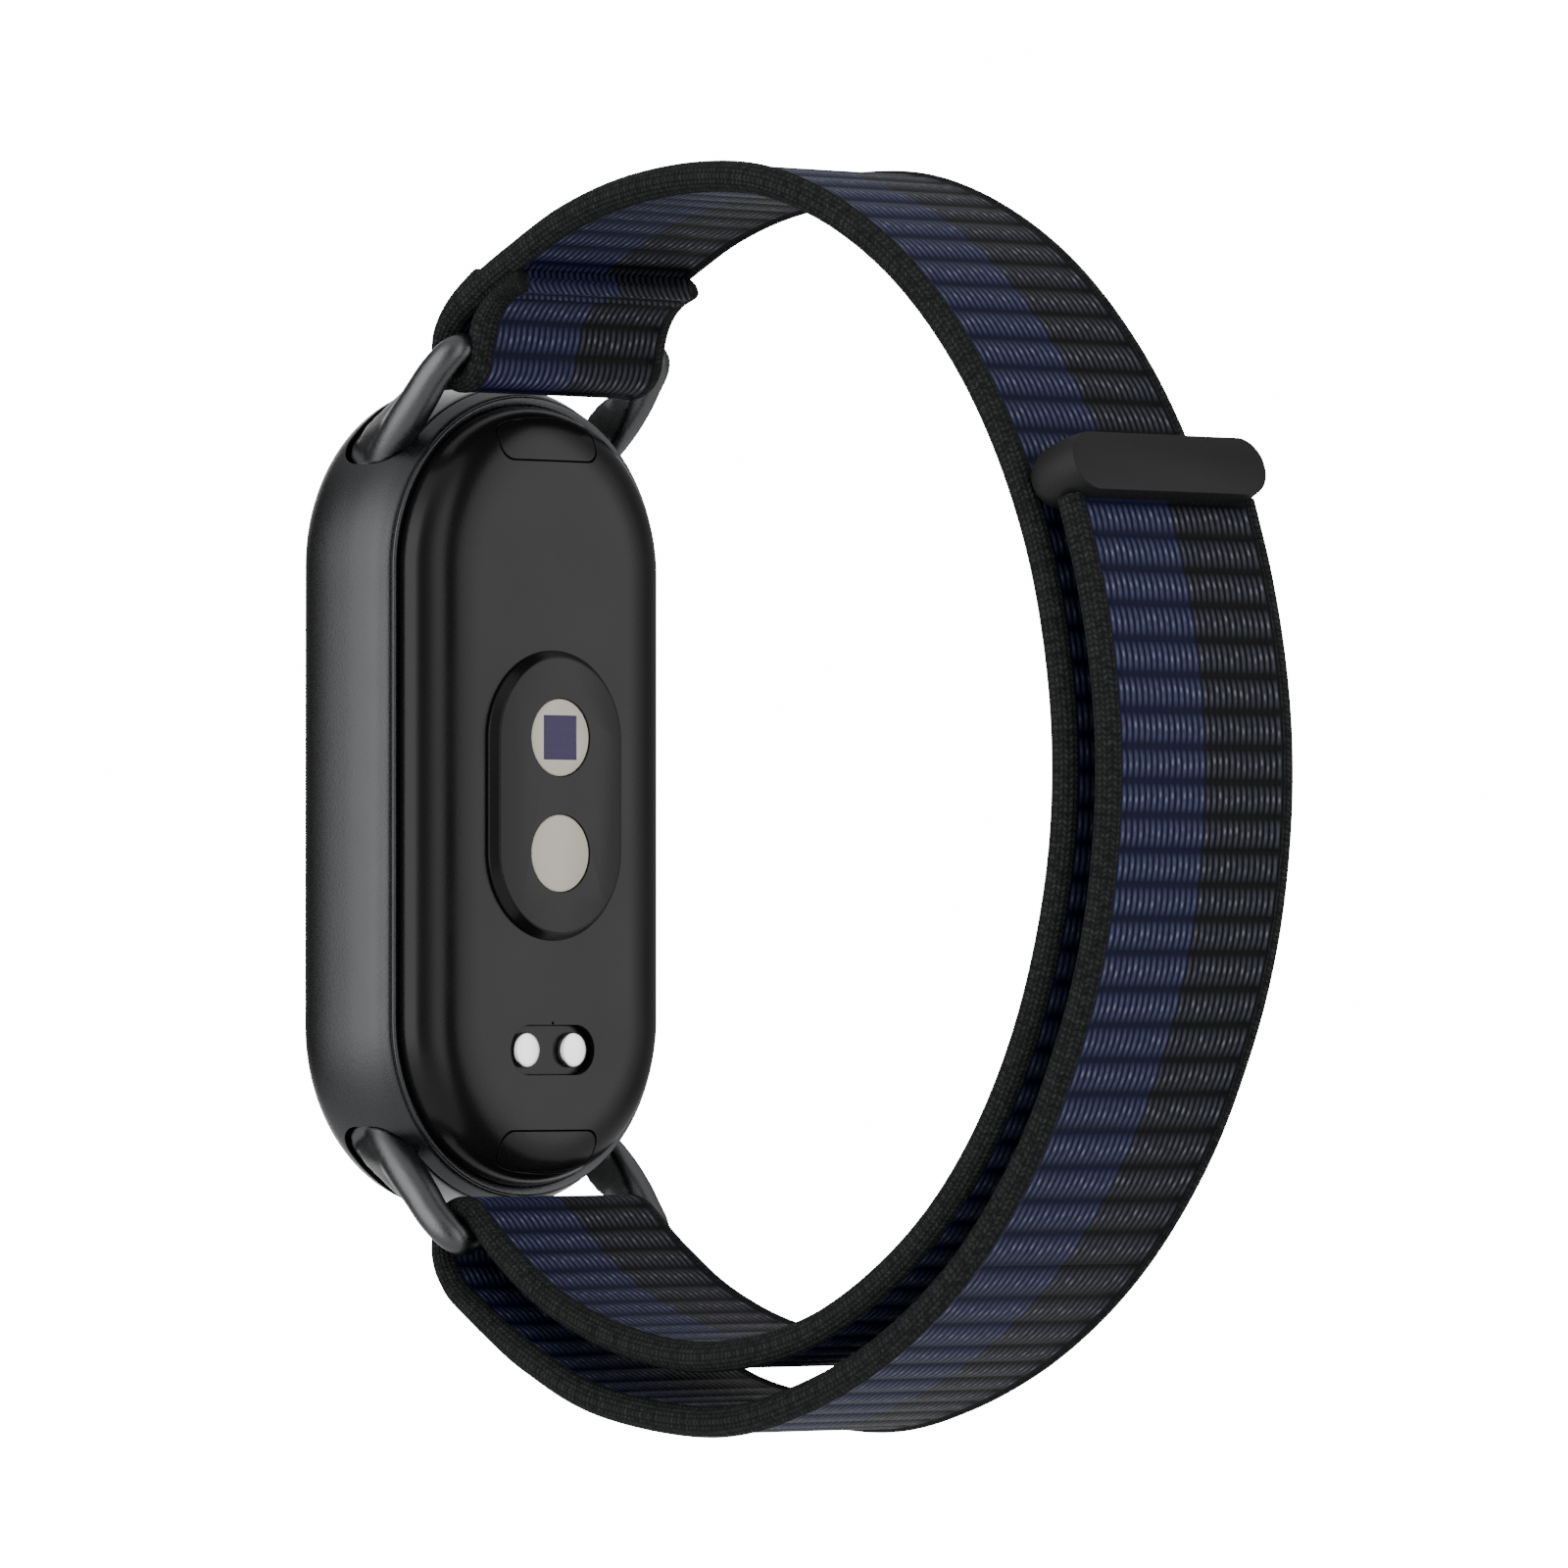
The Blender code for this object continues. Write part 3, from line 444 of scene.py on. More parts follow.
def board_mask():
    """Circuit board: solder mask with faint traces and tinned pads."""
    paint = Paint("solder_mask", (0.01, 0.06, 0.035), roughness=0.4)
    place = paint.node("ShaderNodeTexCoord").outputs["Object"]
    cells = paint.node("ShaderNodeTexVoronoi", {"Vector": place, "Scale": 900.0}, distance="CHEBYCHEV")
    pad = paint.math("LESS_THAN", cells.outputs["Distance"], 0.16)
    trace = paint.range(paint.noise(700, 1), 0.0, 1.0, 0.48, 0.52)
    mask = paint.blend(trace, (0.008, 0.05, 0.03), (0.014, 0.085, 0.05))
    paint.to("Base Color", paint.blend(pad, mask, (0.6, 0.58, 0.5)))
    paint.to("Metallic", pad)
    paint.bump(trace, 0.02)
    return paint.material


def foil():
    paint = Paint("battery_foil", (0.5, 0.5, 0.52), metallic=0.8, roughness=0.35)
    crease = paint.noise(260, 4, (1.0, 1.0, 0.35))
    paint.to("Roughness", paint.range(crease, 0.28, 0.5, 0.3, 0.7))
    paint.bump(crease, 0.12)
    return paint.material


def window_polymer():
    """Milky diffuser over the sensor's emitters."""
    paint = Paint("sensor_window", (0.44, 0.425, 0.385), roughness=0.34, coat_weight=0.15,
                  coat_roughness=0.12)
    cloud = paint.noise(500, 2)
    paint.to("Base Color", paint.blend(cloud, (0.36, 0.337, 0.272), (0.405, 0.381, 0.314)))
    paint.bump(cloud, 0.002, soft_edge=0.05)
    return paint.material


def chip(name, colour, line):
    """A die behind the window, with its fine grid of cells."""
    paint = Paint(name, colour, roughness=0.35, specular_ior_level=0.08)
    place = paint.node("ShaderNodeTexCoord").outputs["Object"]
    parts = paint.node("ShaderNodeSeparateXYZ", {0: place}).outputs
    cells = [paint.math("PINGPONG", paint.math("MULTIPLY", parts[axis], 3200.0), 1.0)
             for axis in (0, 2)]
    grid = paint.math("GREATER_THAN", paint.math("MAXIMUM", *cells), 0.9)
    paint.to("Base Color", paint.blend(paint.math("MULTIPLY", grid, 0.25), colour, line))
    return paint.material


def plated():
    paint = Paint("contact_plating", (0.9, 0.91, 0.92), metallic=1.0, roughness=0.3)
    turned = paint.noise(2500, 2)
    paint.to("Base Color", paint.blend(turned, (0.86, 0.87, 0.88), (0.94, 0.95, 0.96)))
    paint.bump(turned, 0.004, soft_edge=0.06)
    return paint.material


def front_lens():
    paint = Paint("front_glass", (0.006, 0.006, 0.008), roughness=0.05, coat_weight=0.6,
                  coat_roughness=0.03)
    smear = paint.noise(60, 3)
    paint.to("Roughness", paint.range(smear, 0.03, 0.09, 0.35, 0.65))
    return paint.material


# ---------------------------------------------------------------- case

def longer_at_front(radius, y):
    if radius < 9.7:
        return CASE_STRAIGHT
    return CASE_STRAIGHT + FRONT_GROWTH * min(1.0, max(0.0, (RIM_Y - y) / (RIM_Y - FRONT_Y)))


def wrapped_pad(name, grow, outer_radius, mat, steps=72):
    """A pad wrapped round the upper case end, with rounded corners."""
    start = FOOT_START - grow / CASE_RADIUS
    middle = sum(FOOT_Y) / 2
    half = (FOOT_Y[1] - FOOT_Y[0]) / 2 + grow
    sweep = math.pi - 2 * start
    rings = []
    for i in range(steps + 1):
        eased = 0.5 - 0.5 * math.cos(math.pi * i / steps)
        angle = start + sweep * eased
        short = max(0.0, 1 - min(eased, 1 - eased) * sweep * CASE_RADIUS / FOOT_CORNER)
        width = half - FOOT_CORNER * (1 - math.sqrt(max(0.0, 1 - short * short)))
        inner, outer = FOOT_FLOOR_RADIUS - grow, outer_radius
        corners = ((inner, -width), (inner, width), (outer, width), (outer, -width))
        rings.append([(r * math.cos(angle), middle + y, CASE_STRAIGHT + r * math.sin(angle))
                      for r, y in corners])
    return loft(name, rings, [mat])


def make_case(metal):
    rim = [(10.3, -28.2, 0.0), (10.3, -27.53, 0.03), (10.74, -27.39, 0.06), (10.84, -27.46, 0.06),
           (10.86, -27.58, 0.05), (10.78, -27.66, 0.04), (10.78, -27.76, 0.04), (10.9, -27.76, 0.0)]
    belly = [(10.93, -27.79), (11.08, -28.1), (11.39, -28.9), (11.57, -30.2), (11.62, -31.5),
             (11.59, -32.9), (11.47, -34.05), (11.28, -34.85), (10.97, -35.5), (10.52, -35.92),
             (9.9, -36.12)]
    inside = [(9.76, -36.02), (9.72, -35.9), (9.72, -35.0), (8.9, -35.0), (8.9, -34.35),
              (9.3, -34.35), (9.3, -28.2)]
    profile = rounded(rim) + spline(belly, 4).tolist() + inside
    rings = [stadium(r, y, longer_at_front(r, y)) for r, y in profile]
    case = loft("case_body", rings, [metal], joined=True)
    upper = wrapped_pad("upper_pocket", POCKET_GAP, POCKET_OUTER_RADIUS, metal)
    cut(case, "DIFFERENCE", upper, mirrored(upper, "lower_pocket"))
    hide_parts("case_frame")
    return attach(case, "tracker")


def dome_rings(steps=34):
    """The cover's rear from its skirt up to the flat: a superellipse above a steep side."""
    reach, edge = COVER_RADIUS - COVER_FLAT_RADIUS, COVER_SKIRT[1]
    profile = [COVER_SKIRT]
    for i in range(1, steps + 1):
        t = math.sin(math.pi / 2 * (1 - i / steps))
        left = 1 - t ** DOME_POWER
        rise = COVER_FLAT_Y - edge
        slope = rise / reach * t ** (DOME_POWER - 1) * left ** (1 / DOME_POWER - 1)
        if slope < STEEPEST:
            profile.append((COVER_FLAT_RADIUS + reach * t, edge + rise * left ** (1 / DOME_POWER)))
    return [stadium(radius, y) for radius, y in profile]


def button_prism(name, grow, low_y, high_y, mat):
    half, flat = BUTTON_HALF_WIDTH + grow, BUTTON_FLAT_Z - grow
    shoulder, tip, corner = BUTTON_TIP_Z - 1.1, BUTTON_TIP_Z + grow, 0.9
    outline = []
    for side, start in ((-1, 180), (1, 270)):
        for i in range(9):
            angle = math.radians(start + 90 * i / 8)
            outline.append((side * (half - corner) + corner * math.cos(angle),
                            flat + corner + corner * math.sin(angle)))
    for i in range(25):
        angle = math.pi * i / 24
        outline.append((half * math.cos(angle), shoulder + (tip - shoulder) * math.sin(angle) ** 0.8))
    return loft(name, [[(x, y, z) for x, z in outline] for y in (low_y, high_y)], [mat])


def make_cover(polymer):
    inside = [(5.3, -26.0), (7.6, -26.35), (8.9, -27.1), (9.2, -27.9), (10.27, -27.9)]
    cover = loft("rear_shell", [stadium(r, y) for r, y in inside] + dome_rings(), [polymer])
    hole = loft("hole", [stadium(4.55, y, SENSOR_STRAIGHT) for y in (-27.5, -24.0)], [polymer])
    slot = loft("slot", [stadium(INSERT_RADIUS + 0.04, y, INSERT_STRAIGHT, (0.0, CONTACT_Z), 32, "X")
                         for y in (-27.5, -24.0)], [polymer])
    vent = disc("vent", [(0.09, -27.5), (0.09, -24.0)], polymer, (0.0, -13.95), 16)
    upper = button_prism("upper_hole", BUTTON_GAP, -28.5, -24.5, polymer)
    cut(cover, "DIFFERENCE", hole, slot, vent, upper, mirrored(upper, "lower_hole"))
    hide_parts("rear_cover")
    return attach(cover, "tracker")


def make_buttons(polymer):
    cap = button_prism("upper_button_cap", 0.0, -27.2, -24.5, polymer)
    dome = loft("dome", [stadium(COVER_SKIRT[0], -28.5)] + dome_rings(), [polymer])
    cut(cap, "INTERSECT", dome)
    for side, obj in (("lower", mirrored(cap, "lower_button_cap")), ("upper", cap)):
        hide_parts(f"{side}_release_button")
        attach(obj, f"{side}_button_body")


def make_front(glass):
    profile = [(9.5, -35.3, 0.0), (9.62, -35.42, 0.06), (9.62, -35.9, 0.25), (9.1, -36.24, 1.0),
               (8.0, -36.42, 1.5), (6.0, -36.54, 2.0), (3.5, -36.6, 0.0)]
    lens = loft("front_lens", [stadium(r, y) for r, y in rounded(profile)], [glass])
    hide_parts("front_glass")
    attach(lens, "tracker")


def make_sensor(polymer, window):
    profile = [(4.4, -26.2, 0.0), (4.4, -24.93, 0.0), (5.45, -24.93, 0.0), (5.42, -24.8, 0.05),
               (5.02, -24.3, 0.08), (4.9, -24.27, 0.0)]
    bump = loft("sensor_bump", [stadium(r, y, SENSOR_STRAIGHT) for r, y in rounded(profile)],
                [polymer])
    holes = [disc(f"hole_{z}", [(WINDOW_RADIUS + 0.03, -27.0), (WINDOW_RADIUS + 0.03, -24.0)],
                  polymer, (0.0, z), 96) for z in (WINDOW_Z, -WINDOW_Z)]
    cut(bump, "DIFFERENCE", *holes)
    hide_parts("sensor_cover")
    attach(bump, "tracker")
    for side, z in (("upper", WINDOW_Z), ("lower", -WINDOW_Z)):
        edge = rounded([(WINDOW_RADIUS, -24.95, 0.0), (WINDOW_RADIUS, -24.36, 0.05),
                        (WINDOW_RADIUS - 0.1, -24.32, 0.0)])
        lens = disc(f"{side}_window_lens", edge, window, (0.0, z), 96)
        if side == "upper":
            cut(lens, "DIFFERENCE", block("aperture", CHIP_HALF, -26.0, -24.0, z, window))
        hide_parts(f"{side}_sensor_window")
        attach(lens, "tracker")


def block(name, half, low, high, z, mat):
    """A square block centred on X = 0 between two levels of Y."""
    corners = ((-half, -half), (half, -half), (half, half), (-half, half))
    return loft(name, [[(x, y, z + up) for x, up in corners] for y in (low, high)], [mat])


def make_photodiode():
    """The light sensor, seen through the square aperture of the upper window."""
    mat = chip("photodiode", (0.046, 0.037, 0.08), (0.056, 0.046, 0.095))
    die = block("photodiode_die", CHIP_HALF - 0.02, -25.2, -24.37, WINDOW_Z, mat)
    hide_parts("photodiode")
    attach(die, "tracker")


def make_contacts(polymer, metal):
    profile = [(INSERT_RADIUS + 0.7, -26.9), (INSERT_RADIUS + 0.7, -26.1), (INSERT_RADIUS, -26.1),
               (INSERT_RADIUS, -25.6)]
    floor = loft("contact_floor", [stadium(r, y, INSERT_STRAIGHT, (0.0, CONTACT_Z), 32, "X")
                                   for r, y in profile], [polymer])
    holes = [disc(f"pin_hole_{x}", [(0.65, -27.5), (0.65, -25.0)], polymer, (x, CONTACT_Z), 32)
             for x in (CONTACT_X, -CONTACT_X)]
    cut(floor, "DIFFERENCE", *holes)
    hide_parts("contact_insert")
    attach(floor, "tracker")
    for side, x in (("left", CONTACT_X), ("right", -CONTACT_X)):
        edge = rounded([(0.55, -28.7, 0.0), (0.55, -25.58, 0.0), (CONTACT_RADIUS, -25.56, 0.05),
                        (CONTACT_RADIUS, -25.2, 0.12), (CONTACT_RADIUS - 0.25, -25.15, 0.0)])
        pin = disc(f"{side}_contact_pin", edge, metal, (x, CONTACT_Z))
        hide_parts(f"{side}_charge_contact")
        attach(pin, "tracker")


# ---------------------------------------------------------------- connectors

# Sections of an arm: front and rear edge of the flat inner face as (Y, Z), X, and ridge height
ARM_SECTIONS = [((-32.7, 20.7), (-30.3, 20.7), 8.55, 0.75),
                ((-33.6, 21.5), (-29.0, 21.5), 8.3, 1.2),
                ((-33.2, 22.5), (-27.65, 22.4), 8.0, 1.75),
                ((-31.7, 23.5), (-26.95, 23.3), 8.0, 1.5),
                ((-29.5, 24.7), (-26.0, 24.5), 8.15, 1.2),
                ((-27.6, 25.6), (-26.2, 25.3), 8.4, 0.5)]

# The round tube over each arm and its bend into the strap bar: x, y, z, radius
ARM_TUBE = [(7.7, -32.3, 19.7, 1.05), (8.15, -31.35, 20.6, 1.2), (8.5, -30.25, 21.5, 1.22),
            (8.75, -28.65, 22.95, 1.2), (8.8, -27.2, 24.4, 1.13), (8.75, -26.25, 25.5, 1.07),
            (8.6, -25.4, 26.35, 1.03), (8.25, -24.82, 26.95, 0.98), (7.65, -24.66, 27.22, 0.93),
            (6.95, -24.95, 27.15, 0.86), (6.1, -25.35, 27.02, 0.82)]

# Between the flat inner faces of the two arms, as (x, y)
ARM_INNER_FACES = [(8.75, -34.0), (7.75, -26.6), (7.75, -24.0),
                   (-7.75, -24.0), (-7.75, -26.6), (-8.75, -34.0)]

# Round a section from its rear edge over the outer ridge: part of the way from front to rear,
# and part of the ridge's height
ARM_OUTLINE = [(1.0, 0.2), (0.97, 0.5), (0.9, 0.78), (0.79, 0.96), (0.66, 1.0), (0.5, 0.9),
               (0.34, 0.72), (0.15, 0.47), (0.02, 0.24), (0.0, 0.1), (0.06, 0.0), (0.22, -0.02),
               (0.42, -0.03), (0.62, -0.03), (0.82, -0.01), (0.96, 0.05)]


def arm_ring(front, rear, x_inner, ridge):
    return [(x_inner + ridge * out, *Vector(front).lerp(Vector(rear), along))
            for along, out in ARM_OUTLINE]


def tube_rings(path, steps=24):
    """Round sections along a path of (x, y, z, radius), each square to the path."""
    fine = spline(path, 6)
    places, radii = fine[:, :3], fine[:, 3]
    tangents = np.gradient(places, axis=0)
    rings = []
    side = np.array((0.0, 0.7, -0.7))
    for place, tangent, radius in zip(places, tangents, radii):
        tangent = tangent / np.linalg.norm(tangent)
        side = side - tangent * side.dot(tangent)
        side = side / np.linalg.norm(side)
        other = np.cross(tangent, side)
        angles = np.arange(steps) * 2 * math.pi / steps
        rings.append(place + radius * (np.cos(angles)[:, None] * side
                                       + np.sin(angles)[:, None] * other))
    return rings


def spline(values, times, axis=0, closed=False):
    """Catmull-Rom through an array's rows (or columns), with that many points per step."""
    values = np.moveaxis(np.asarray(values, float), axis, 0)
    if closed:
        padded = np.concatenate([values[-1:], values, values[:2]])
    else:
        padded = np.concatenate([2 * values[:1] - values[1:2], values,
                                 2 * values[-1:] - values[-2:-1]])
    made = []
    for p0, p1, p2, p3 in zip(padded, padded[1:], padded[2:], padded[3:]):
        for k in range(times):
            t = k / times
            made.append(0.5 * (2 * p1 + (p2 - p0) * t + (2 * p0 - 5 * p1 + 4 * p2 - p3) * t ** 2
                               + (3 * p1 - 3 * p2 + p3 - p0) * t ** 3))
    if not closed:
        made.append(values[-1])
    return np.moveaxis(np.array(made), 0, axis)


def make_connectors(metal):
    half = np.array(ARM_TUBE + [(0.0, BAR_Y, BAR_Z, BAR_RADIUS)])
    bail = loft("bail", tube_rings(np.concatenate([half, half[-2::-1] * (-1, 1, 1, 1)])), [metal])
    web = np.array([arm_ring(*section) for section in ARM_SECTIONS])
    web = spline(spline(web, 4), 3, axis=1, closed=True)
    webs = [loft("web", web * (side, 1, 1), [metal]) for side in (1, -1)]
    for obj in (bail, *webs):
        cut(obj, "DIFFERENCE", loft("between", [[(x, y, z) for x, y in ARM_INNER_FACES]
                                                for z in (21.9, 25.9)], [metal]))
    foot = wrapped_pad("upper_bail", 0.0, FOOT_OUTER_RADIUS, metal)
    cut(foot, "UNION", bail, *webs)
    soften(foot)
    for side, obj in (("lower", mirrored(foot, "lower_bail")), ("upper", foot)):
        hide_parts(f"{side}_connector")
        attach(obj, f"{side}_connector_body")


# ---------------------------------------------------------------- strap

def turn(bar_z, start, end, steps=8):
    return [(BAR_Y + STRAP_TURN * math.cos(math.radians(start + (end - start) * i / steps)),
             bar_z + STRAP_TURN * math.sin(math.radians(start + (end - start) * i / steps)))
            for i in range(steps + 1)]


def strap_line():
    """The whole centre line from hem to tab: points every STRAP_STEP, and how far along the
    named points are."""
    points = (UPPER_FOLD + turn(BAR_Z, 0, -180) + UPPER_LEG + BACK + LOWER_INNER
              + turn(-BAR_Z, 45, 180) + LOWER_OUTER + TAIL)
    fine = spline(points, 40)
    lengths = np.concatenate([[0], np.cumsum(np.linalg.norm(np.diff(fine, axis=0), axis=1))])
    places = np.arange(0, lengths[-1], STRAP_STEP)
    line = np.stack([np.interp(places, lengths, fine[:, k]) for k in (0, 1)], axis=1)
    return line, places, {point: float(lengths[40 * i]) for i, point in enumerate(points)}


def rib_count(places):
    """Ribs passed by each point along the strap."""
    return np.interp(places, *zip(*RIB_MARKS))


def rib_rows(first, last):
    """Places to draw a section of the strap at: the same number for every rib."""
    start, end = rib_count(first), rib_count(last)
    whole = np.arange(math.ceil(start * ROWS_PER_RIB + 0.1), math.ceil(end * ROWS_PER_RIB - 0.1))
    counts = np.concatenate([[start], whole / ROWS_PER_RIB, [end]])
    lengths, ribs = zip(*RIB_MARKS)
    return np.interp(counts, ribs, lengths)


def half_thickness(places, side):
    """Half the strap's thickness, towards the side its normal points to (1) or away (-1)."""
    fold = np.array(UPPER_FOLD)
    at = np.concatenate([[0], np.cumsum(np.linalg.norm(np.diff(fold, axis=0), axis=1))])
    thick = np.interp(places, at, FOLD_THICKNESS)
    if side < 0:
        thick = thick + np.interp(places, *zip(*HEM_BACKING))
    else:
        thick = thick + np.interp(places, *zip(*LAP))
    rounding = np.clip(places / 0.5, 0, 1)
    return thick * np.sqrt(np.clip(1 - (1 - rounding) ** 2, 0.02, 1))


def rib_height(places, ribs):
    """Height of the ribbed face as a part of the half thickness; the hem is one full bead."""
    ridge = np.abs(np.sin(math.pi * ribs)) ** 0.75
    ridge = np.where(ribs < 0.5, 1.0, ridge)
    depth = np.where(places < HEM_LENGTH, HEM_RIB_DEPTH, RIB_DEPTH)
    return RIB_CREST + depth * (ridge - 1) * 1.2


def yarn_slant(ribs):
    """Sideways shift of the yarns: a herringbone on the hem, then a slanting row."""
    hem = 1.1 * np.clip(1 - np.abs(ribs - 0.5) * 2, 0, 1)
    return hem + np.where((ribs > 1) & (ribs < 2), 0.7 * (ribs - 1), 0.0)


def section_columns():
    """Round the section: x across the ribbed face, and angles round a knitted edge."""
    face = np.concatenate([np.linspace(FACE_EDGE, FACE_EDGE - FACE_RIM, 5)[:-1],
                           np.linspace(FACE_EDGE - FACE_RIM, -FACE_EDGE + FACE_RIM, 25)[:-1],
                           np.linspace(-FACE_EDGE + FACE_RIM, -FACE_EDGE, 5)])
    arc = np.linspace(0, math.pi, 13)[1:-1]
    return face, arc


def strap_piece(name, line, places, first, last, mats):
    """One length of the strap: ribbed faces between two rounded knitted edges."""
    at = rib_rows(first, last)
    centre = np.stack([np.interp(at, places, line[:, k]) for k in (0, 1)], axis=1)
    ahead = np.stack([np.interp(at + 0.2, places, line[:, k]) for k in (0, 1)], axis=1)
    behind = np.stack([np.interp(at - 0.2, places, line[:, k]) for k in (0, 1)], axis=1)
    tangent = (ahead - behind) / np.linalg.norm(ahead - behind, axis=1)[:, None]
    normal = np.stack([-tangent[:, 1], tangent[:, 0]], axis=1)
    ribs = rib_count(at)
    face, arc = section_columns()
    flat = np.clip((FACE_EDGE - np.abs(face)) / FACE_BLEND, 0, 1)
    flat = flat * flat * (3 - 2 * flat)
    rim = np.where(np.cos(arc) > 0, 1, -1)
    thick = {side: half_thickness(at, side)[:, None] for side in (1, -1)}
    height = {side: thick[side] * (SEAM_HEIGHT * (1 - flat) + rib_height(at, ribs)[:, None] * flat)
              for side in (1, -1)}
    bow = np.where(rim > 0, thick[1], thick[-1]) * np.cos(arc)
    bow = bow * np.interp(at, *zip(*EDGE_FULLNESS))[:, None]
    corner = np.sqrt(np.clip(1 - (1 - np.clip(at / 0.7, 0, 1)) ** 2, 0.05, 1))[:, None]
    out = FACE_EDGE + (STRAP_HALF_WIDTH - FACE_EDGE) * corner * np.sin(arc)
    flats = np.tile(face, (len(at), 1))
    x = np.concatenate([flats, -out, flats[:, ::-1], out[:, ::-1]], axis=1)
    lift = np.concatenate([height[1], bow, -height[-1][:, ::-1], bow[:, ::-1]], axis=1)
    quarter = FACE_EDGE + np.minimum(arc, math.pi - arc) * STRAP_HALF_THICKNESS
    uv_across = np.concatenate([face, -quarter, face[::-1], quarter])
    points = np.stack([x, centre[:, None, 0] + normal[:, None, 0] * lift,
                       centre[:, None, 1] + normal[:, None, 1] * lift], axis=-1)
    across = np.tile(uv_across, (len(at), 1)) + yarn_slant(ribs)[:, None]
    uv = np.stack([across, np.tile(ribs[:, None] * RIB_PITCH, (1, x.shape[1]))], axis=-1)
    n, m = len(face), len(arc)
    slots = np.array(([0] * (n - 1) + [1] * (m + 1)) * 2)
    return loft(name, points, mats, uv=uv, face_slots=slots, sharp=70)


def nearest_rib(place):
    """The place of the valley between ribs that is nearest."""
    lengths, ribs = zip(*RIB_MARKS)
    return float(np.interp(round(float(rib_count(place))), ribs, lengths))


def around(line, place, distance):
    """Points on the line a distance before and after a place."""
    here, reach = int(place / STRAP_STEP), int(distance / STRAP_STEP)
    return [(0.0, y * MM, z * MM) for y, z in (line[here - reach], line[here + reach])]


def make_strap(face, edge):
    line, places, marks = strap_line()
    ends = [0.0] + [nearest_rib(marks[seam]) for seam in SEAMS] + [float(places[-1]) - 0.4]
    pieces = [("webbing_top", ("strap_upper", "strap_back")),
              ("webbing_bottom", ("strap_lower", "strap_tail_root")),
              ("webbing_tail", ("strap_tail_middle",)),
              ("webbing_end", ("strap_tail_end",))]
    made = []
    for (name, nodes), first, last in zip(pieces, ends, ends[1:]):
        obj = strap_piece(name, line, places, first, last, [face, edge])
        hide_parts(*nodes)
        made.append(obj)
    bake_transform(made[0])
    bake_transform(made[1])
    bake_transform(made[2])
    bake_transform(made[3])


def make_tab(polymer):
    """The moulded bar on the strap's free end: a stadium outline, rounded on its inner side."""
    down = (Vector(TAIL[-2]) - Vector(TAIL[-1])).normalized()
    out = Vector((-down.y, down.x)) if -down.y > 0 else Vector((down.y, -down.x))
    profile = spline([(0.5, -1.22), (0.78, -1.08), (0.95, -0.75), (1.02, -0.3), (1.03, 0.15),
                      (1.0, 0.6), (0.955, 0.93)], 4).tolist() + [(0.94, 0.985), (0.915, 1.0)]
    rings = []
    for radius, level in profile:
        r = TAB_HALF_LENGTH * radius
        outline = stadium(r, 0.0, TAB_HALF_WIDTH - TAB_HALF_LENGTH, (0.0, 0.0), 32, "X")
        rings.append([(x, *(Vector(TAB_CENTRE) + out * (TAB_HALF_THICKNESS * level) - down * z))
                      for x, _, z in outline])
    tab = loft("tab_bar", rings, [polymer])
    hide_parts("end_tab")
    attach(tab, "tail_end_body")


def directions(line, i):
    """The line's direction at a point, and the normal to it."""
    tangent = (line[i + 1] - line[i - 1]) / np.linalg.norm(line[i + 1] - line[i - 1])
    return tangent, np.array((-tangent[1], tangent[0]))


def make_hook_pad(mat):
    """A thin tape with rows of small hooks, under the strap's free end."""
    line = strap_line()[0]
    start, end = (int(np.argmin(np.linalg.norm(line - np.array(place), axis=1)))
                  for place in HOOK_TAPE_ENDS)
    index = np.linspace(start, end, 24).astype(int)
    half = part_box("hook_pad")[1].x / MM
    rings = []
    for i in index:
        normal = directions(line, i)[1]
        rings.append([(x, *(line[i] + normal * d))
                      for x, d in ((half, 0.9), (half, 1.3), (-half, 1.3), (-half, 0.9))])
    pad = loft("hook_tape", rings, [mat])
    bm = bmesh.new()
    bm.from_mesh(pad.data)
    for row in range(HOOK_ROWS):
        i = int(start + (end - start) * (row + 0.5) / HOOK_ROWS)
        tangent, normal = directions(line, i)
        for column in range(HOOK_COLUMNS):
            x = -half + 2 * half * (column + 0.5) / HOOK_COLUMNS
            add_hook(bm, x, line[i], normal, tangent)
    bm.to_mesh(pad.data)
    bm.free()
    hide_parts("hook_pad")
    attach(pad, "tail_end_body")


def add_hook(bm, x, base, normal, tangent):
    """A stub that widens into a small head."""
    rings = []
    for rise, radius, shift in ((1.28, 0.12, 0.0), (1.6, 0.09, 0.0), (1.72, 0.14, 0.05),
                                (1.84, 0.09, 0.08)):
        ring = []
        for k in range(6):
            a = math.pi * k / 3
            y, z = base + normal * rise + tangent * (radius * math.sin(a) + shift)
            ring.append(bm.verts.new(Vector((x + radius * math.cos(a), y, z)) * MM))
        rings.append(ring)
    for a, b in zip(rings, rings[1:]):
        for k in range(6):
            bm.faces.new((a[k], a[(k + 1) % 6], b[(k + 1) % 6], b[k]))
    bm.faces.new(rings[-1])
    bm.faces.new(reversed(rings[0]))


# ---------------------------------------------------------------- carried-over nodes

